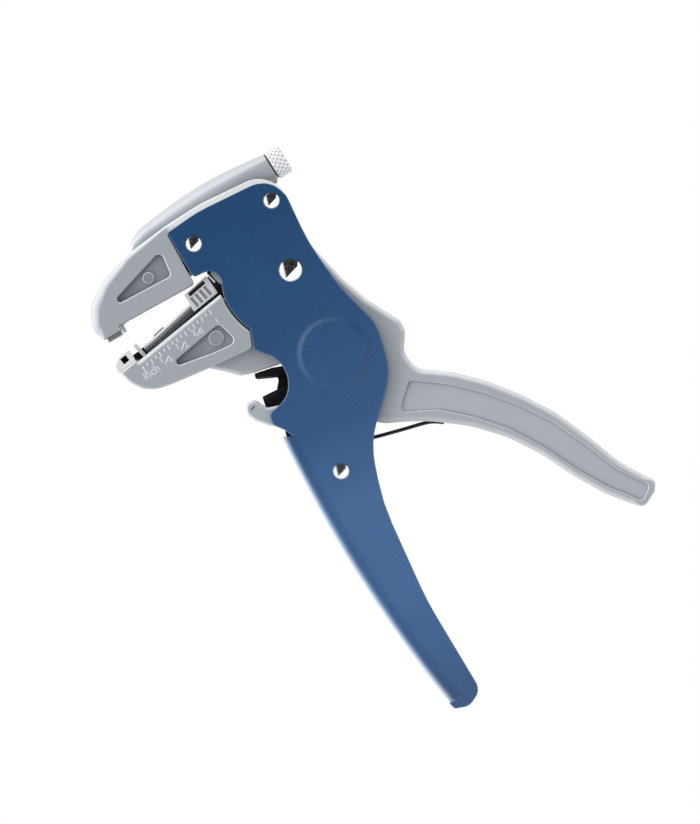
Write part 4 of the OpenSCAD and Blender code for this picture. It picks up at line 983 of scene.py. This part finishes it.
def rearHandlePiece():
    mesh = newMesh()
    half, edge = handle["thick"] / 2, handle["round"]
    low, high = levels["mid"] - half, levels["mid"] + half
    look = {"lip": 0.3, "shade": handle["shade"]}
    front, back = addPockets(mesh, [panelCorners()], low, high, handle["panelDepth"], **look)
    addPlate(mesh, gripCorners(), low, high, edge, edge, 0.05, front, back)
    for outline, *places in handle["ears"]:
        for place in places:
            addPlate(mesh, outline, *place, 0.15, 0.15, 0.25)
    slit = addPocket(mesh, tilted(*handle["slit"]), handle["hookHigh"], handle["slitDepth"], lip=0.06)
    addPlate(mesh, handle["hook"], handle["hookLow"], handle["hookHigh"], *handle["hookRound"], 0.1, [slit])
    hubLow, hubHigh = levels["back"] + handle["hubStep"], levels["front"] - handle["hubStep"]
    addLathe(mesh, (*handlePivot, 0), upward, drumProfile(0.02, handle["hub"], hubLow, hubHigh))
    makePiece("rearHandle", mesh, handleCast, "rear_handle", ["rear_handle"], 50)


rearHandlePiece()
print("stage: rear handle")


# Rivets, knob and washer.
def rivetPiece(name, node, metal, places, shank, head, dome):
    # A low flat head at the back, the shank, and a domed head in front.
    low, high = levels["back"], levels["front"]
    profile = [(0.02, 0.0), (head - 0.25, 0.0), (head - 0.07, 0.07), (head, 0.25), (head, low - 0.1),
               (head - 0.1, low), (shank, low + 0.05), (shank, high - 0.1), (head - 0.04, high - 0.03),
               (head - 0.01, high)]
    profile += [*domeProfile(head - 0.02, dome, high, 26)[1:-1], (0.02, high + dome - 0.02)]
    mesh = newMesh()
    for at in places:
        addLathe(mesh, (*at, 0), upward, profile)
    makePiece(name, mesh, metal, "frame", [node], 35)


rivetPiece("jawRivets", "upper_jaw_rivets", chrome, [(-19.3, 48), (6.6, 47.6)], 1.6, 2.5, 1.3)
rivetPiece("mainRivet", "main_pivot_rivet", chrome, [jawPivot], 2.0, 3.45, 1.6)
rivetPiece("springRivet", "spring_rivet", dullChrome, [springPivot], 1.6, 2.5, 1.3)


knob = {"radius": 4.59, "width": 4.7, "gap": 0.4, "bore": 1.4, "ridges": 18, "slant": 0.92, "depth": 0.22,
        "fade": 0.4, "count": 480, "washer": 3.95}


def knurlWaves(angle, along):
    # Two sets of slanting grooves cross on the rim: each wave is 0 in a groove and 1 between two.
    slant = knob["slant"] * (along - knob["width"] / 2) / knob["radius"]
    return [np.abs(np.sin(knob["ridges"] * (angle + side * slant) / 2)) for side in (1, -1)]


def knurl(angle, along):
    # Depth falls to the deeper of two crossing waves, and fades out at both rims.
    fade, top = knob["fade"], knob["width"] - 0.2
    inside = np.clip((along - 0.2) / fade, 0, 1) * np.clip((top - along) / fade, 0, 1)
    return (np.minimum(np.minimum(*knurlWaves(angle, along)) * 1.8, 1) - 1) * knob["depth"] * inside


def knobPiece():
    mesh = newMesh()
    r, w, bore = knob["radius"], knob["width"], knob["bore"]
    rim = [(r - 0.03 - knob["depth"] * 0.2, 0.45 + (w - 0.9) * t) for t in np.linspace(0, 1, 45)]
    profile = [(bore, 0.0), (r - 0.75, 0.0), (r - 0.5, 0.05), (r - 0.3, 0.2), *rim, (r - 0.3, w - 0.2),
               (r - 0.5, w - 0.05), (r - 0.75, w), (bore, w)]
    # The rim has a painted highlight on the diamonds and painted shade in the grooves; the flat ends are
    # painted lighter.
    radii, rings = np.array(profile).T[:, :, None]
    waves = knurlWaves(roundAngles(knob["count"]), rings)
    tone = (0.9 - 2.3 * (1 - np.clip(np.maximum(*waves) * 1.7, 0, 1))
            - 0.95 * (1 - np.clip(np.minimum(*waves) * 1.9, 0, 1)))
    tone = np.where(radii > r - 0.35, np.clip(tone, -0.9, 0.9), 0.3)
    addLathe(mesh, tubeMouth - tubeAxis * (knob["gap"] + w), tubeAxis, profile, knob["count"], knurl, tone)
    makePiece("adjustingKnob", mesh, paintedReflectionSteel, "knob", ["adjusting_knob"], 60)


def washerPiece():
    mesh = newMesh()
    r, inner, near, top = knob["washer"], 1.0, -0.02, knob["gap"] - 0.03
    profile = [(inner, near), (r - 0.05, near), (r, near + 0.07), (r, top - 0.05), (r - 0.05, top),
               (inner, top), (inner, near)]
    addLathe(mesh, tubeMouth - tubeAxis * knob["gap"], tubeAxis, profile, 64)
    makePiece("knobWasher", mesh, blackSteel, "knob")


knobPiece()
washerPiece()
print("stage: rivets and knob")


# Return spring.
spring = {
    "radius": 4.2, "wire": 0.55, "pitch": 1.18, "low": 6.44, "start": 78.0, "turn": 1540.0,
    "up": [(17.9, -33.55), (14.1, -31.3), (6, -29.2), (-1.6, -27.2), (-6.6, -25.6)],
    "down": [(-20.6, -36), (-22.6, -46), (-23.4, -58)],
}


def springPiece():
    # Coil round the rivet with a leg at each end; both legs lie at their end's level.
    (x, y), r, low = springPivot, spring["radius"], spring["low"]
    a = np.radians(spring["start"] + np.arange(0, spring["turn"] + 1, 10.0))
    high = low + spring["pitch"] * spring["turn"] / 360
    coil = np.column_stack([x + r * np.cos(a), y + r * np.sin(a),
                            low + spring["pitch"] * (a - a[0]) / (2 * math.pi)])
    up = smoothPath([(*p, low) for p in spring["up"]] + [coil[0]])[:-1]
    down = smoothPath([coil[-1]] + [(*p, high) for p in spring["down"]])[1:]
    mesh = newMesh()
    ids = addGrid(mesh, tubeAlong(np.vstack([up, coil, down]), spring["wire"]))
    mesh["faces"] += [ids[:1, -2::-1], ids[-1:, :-1]]
    piece = toObject("returnSpring", mesh, blackSteel, 60)
    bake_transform(piece)
    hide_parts("return_spring")


springPiece()


# Smaller parts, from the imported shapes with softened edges: body, then material and bevel of each node.
small = {
    "frame": {"upper_grip_pad": (darkSteel, 0.06), "main_pivot_bush": (plainSteel, 0.05),
              "spring_bush": (plainSteel, 0.05), "upper_cutter_blade": (blackSteel, 0.14),
              "cutter_posts": (plainSteel, 0.08), "upper_guide_pin": (plainSteel, 0.05),
              "spring_plunger": (plainSteel, 0.05)},
    "knob": {"adjusting_screw": (plainSteel, 0.05)},
    "nut": {"adjusting_nut": (plainSteel, 0.05)},
    "upper_carriage": {"upper_blade_carriage": (paintedReflectionSteel, 0.12), "upper_blade": (paintedReflectionSteel, 0.05),
                       "upper_blade_screw": (plainSteel, 0.04)},
    "lower_jaw": {"lower_grip_block": (paintedReflectionSteel, 0.14), "grip_block_pin": (plainSteel, 0.04),
                  "lower_guide_pin": (plainSteel, 0.05)},
    "lower_carriage": {"lower_blade_rail": (rackSteel, 0.08), "lower_blade": (paintedReflectionSteel, 0.05),
                       "lower_blade_screw": (plainSteel, 0.04)},
    "stop": {"slider_click_spring": (plainSteel, 0.04)},
    "rear_handle": {"draw_pin": (plainSteel, 0.08), "closing_pin": (plainSteel, 0.05),
                    "closing_roller": (plainSteel, 0.05), "lower_cutter_blade": (blackSteel, 0.14),
                    "cutter_screws": (plainSteel, 0.04)},
}
recessBox = {"lower_grip_block": ((-54.9, 27.3, 14.7), (-51.9, 30.2, 16.15))}
springEnds = {"tension_spring": (30.0, 12.0)}


def dressed(node, bodyName, material, bevel):
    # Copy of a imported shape: merged, its flat faces joined, edges rounded by a bevel.
    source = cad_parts[node]
    data = source.data.copy()
    work = bmesh.new()
    work.from_mesh(data)
    bmesh.ops.transform(work, matrix=source.matrix_world, verts=work.verts)
    bmesh.ops.remove_doubles(work, verts=work.verts, dist=2e-6)
    bmesh.ops.dissolve_limit(work, angle_limit=math.radians(1.0), verts=work.verts, edges=work.edges)
    bmesh.ops.recalc_face_normals(work, faces=work.faces)
    work.to_mesh(data)
    work.free()
    data.materials.clear()
    data.materials.append(material)
    if node in recessBox:
        # The faces inside the recess are black: painted shade.
        data.materials.append(paintedShadowBlack)
        low, high = np.array(recessBox[node]) * toMetres
        middle = readVectors(data.polygons, "center")
        inside = ((middle > low) & (middle < high)).all(1)
        data.polygons.foreach_set("material_index", inside.astype(np.int32))
    smoothFaces(data, 35)
    first, *others = node.split("_")
    piece = newObject(first + "".join(word.capitalize() for word in others), data)
    if bevel > 0:
        rounding = piece.modifiers.new("softEdge", "BEVEL")
        rounding.width, rounding.segments = bevel * toMetres, 2
        rounding.limit_method, rounding.angle_limit = "ANGLE", math.radians(40)
        rounding.use_clamp_overlap = True
    if node in springEnds:
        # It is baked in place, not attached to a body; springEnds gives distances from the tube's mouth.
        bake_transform(piece)
    else:
        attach(piece, bodyName)
    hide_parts(node)


for bodyName, nodes in small.items():
    for node, look in nodes.items():
        dressed(node, bodyName, *look)
dressed("tension_spring", "nut", plainSteel, 0)
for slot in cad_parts["jaw_spring"].material_slots:
    slot.material = plainSteel


slider = {
    "outline": [[-29.1, 30.8, 0.3], [-29.2, 36.5, 0.3], [-20.8, 38.2, 0.4], [-20.3, 32.2, 0.4]],
    "bridge": [[-29.0, 34.6, 0.1], [-29.1, 36.4, 0.1], [-20.85, 38.1, 0.1], [-20.7, 36.5, 0.1]],
    "grooves": [(-27.52, 33.24), (-25.87, 33.57), (-24.22, 33.89), (-22.57, 34.19)],
    "groove": (3.2, 0.9, 100.8, 0.12), "grooveDepth": 0.3, "grooveShade": (-0.6, -0.6, 1),
    "slot": ((-25.1, 36.35), 5.9, 1.15, 11.2, 0.15), "slotDepth": 1.2, "slotShade": (-1, -1, 1),
    "low": 4.6, "high": 13.0, "rail": 1.84,
}


def sliderPiece():
    # Two side plates joined over the rail, with four grooves each and a slot in the front one, darkened with
    # painted shade.
    mesh = newMesh()
    low, high = slider["low"], slider["high"]
    bottom, top = levels["mid"] - slider["rail"], levels["mid"] + slider["rail"]
    bars = [tilted(at, *slider["groove"]) for at in slider["grooves"]]
    look = {"lip": 0.12, "shade": slider["grooveShade"]}
    front, back = addPockets(mesh, bars, low, high, slider["grooveDepth"], **look)
    look = {"lip": 0.08, "shade": slider["slotShade"]}
    front.append(addPocket(mesh, tilted(*slider["slot"]), high, slider["slotDepth"], **look))
    addPlate(mesh, slider["outline"], top, high, roundHigh=0.15, holesHigh=front)
    addPlate(mesh, slider["outline"], low, bottom, roundLow=0.15, holesLow=back)
    addPlate(mesh, slider["bridge"], bottom - 0.1, top + 0.1)
    makePiece("stopSlider", mesh, paintedReflectionSteel, "stop", ["stop_slider"], 40)


sliderPiece()
print("stage: smaller parts")


# Light, camera and background.
scene = bpy.context.scene
scene.view_settings.view_transform = "Standard"
room = {
    "sky": (-0.35, 0.88, 0.31), "above": (-0.6, 1.0, 0.5, 1.25), "edge": (0.06, -0.2, 0.0, 1.0),
    "below": 1.9, "white": 1.25, "mottle": 9.0, "dim": (0.4, 0.62, 0.004, 0.07),
    "right": (0.866, -0.5, 0), "up": (0.5, 0.866, 0),
    "screen": [(0.727, -0.688, 0.156, 0.012), (1.0, 0.0, 0.459, 0.012), (-0.975, -0.223, 0.40, 0.07),
               (-0.55, 0.835, 0.717, 0.02)],
}


def blendValue(tree, factor, a, b):
    # a + factor * (b - a)
    return mathNode(tree, "ADD", a, mathNode(tree, "MULTIPLY", factor, mathNode(tree, "SUBTRACT", b, a)))


def makeWorld():
    # White to the camera. Soft light comes from below all round and from the side where the tube lies.
    # Polished metal mirrors a white room with one dark screen: the screen is where the half-way normal
    # lies inside four lines, each given as (across, up, reach, softness) in the picture's directions.
    world = bpy.data.worlds.new("paleRoom")
    scene.world = world
    world.use_nodes = True
    tree = world.node_tree
    place = tree.nodes.new("ShaderNodeTexCoord").outputs["Generated"]
    above = remap(tree, vectorNode(tree, "DOT_PRODUCT", place, room["sky"]), *room["above"])
    low = remap(tree, vectorNode(tree, "DOT_PRODUCT", place, upward), *room["edge"])
    soft = blendValue(tree, low, above, room["below"])
    halfway = vectorNode(tree, "NORMALIZE", vectorNode(tree, "ADD", place, upward))
    right, up = Vector(room["right"]), Vector(room["up"])
    inside = 1.0
    for across, rise, reach, softness in room["screen"]:
        value = vectorNode(tree, "DOT_PRODUCT", halfway, (right * across + up * rise)[:])
        side = remap(tree, value, reach + softness, reach - softness, 0.0, 1.0)
        inside = mathNode(tree, "MULTIPLY", inside, side)
    dim = remap(tree, noise(tree, halfway, room["mottle"]), *room["dim"])
    rays = tree.nodes.new("ShaderNodeLightPath").outputs
    seen = blendValue(tree, rays["Is Glossy Ray"], soft, blendValue(tree, inside, room["white"], dim))
    seen = blendValue(tree, rays["Is Camera Ray"], seen, 1.0)
    feed(tree, tree.nodes["Background"], {"Strength": seen, "Color": (255, 255, 255)})


makeWorld()

key = {"at": (-0.62, 0.16, 0.34), "aim": (0, -0.02, 0), "size": 0.3, "power": 1.6}
lampData = bpy.data.lights.new("keyLight", "AREA")
lampData.energy, lampData.size = key["power"], key["size"]
lamp = newObject("keyLight", lampData)
lamp.location = key["at"]
lamp.rotation_euler = (Vector(key["aim"]) - Vector(key["at"])).to_track_quat("-Z", "Y").to_euler()
lamp.visible_glossy = False

view = {"centre": (-0.00437, -0.01719), "face": 0.0168, "height": 0.2400, "distance": 4.0, "sensor": 36.0,
        "turn": -30.0}
cameraData = bpy.data.cameras.new("camera")
cameraData.sensor_width = view["sensor"]
cameraData.sensor_fit = "AUTO"
cameraData.lens = view["sensor"] * view["distance"] / view["height"]
cameraData.clip_start, cameraData.clip_end = 0.1, 10
camera = newObject("camera", cameraData)
camera.location = (*view["centre"], view["distance"] + view["face"])
camera.rotation_euler = (0, 0, math.radians(view["turn"]))
scene.camera = camera
print("stage: light and camera")
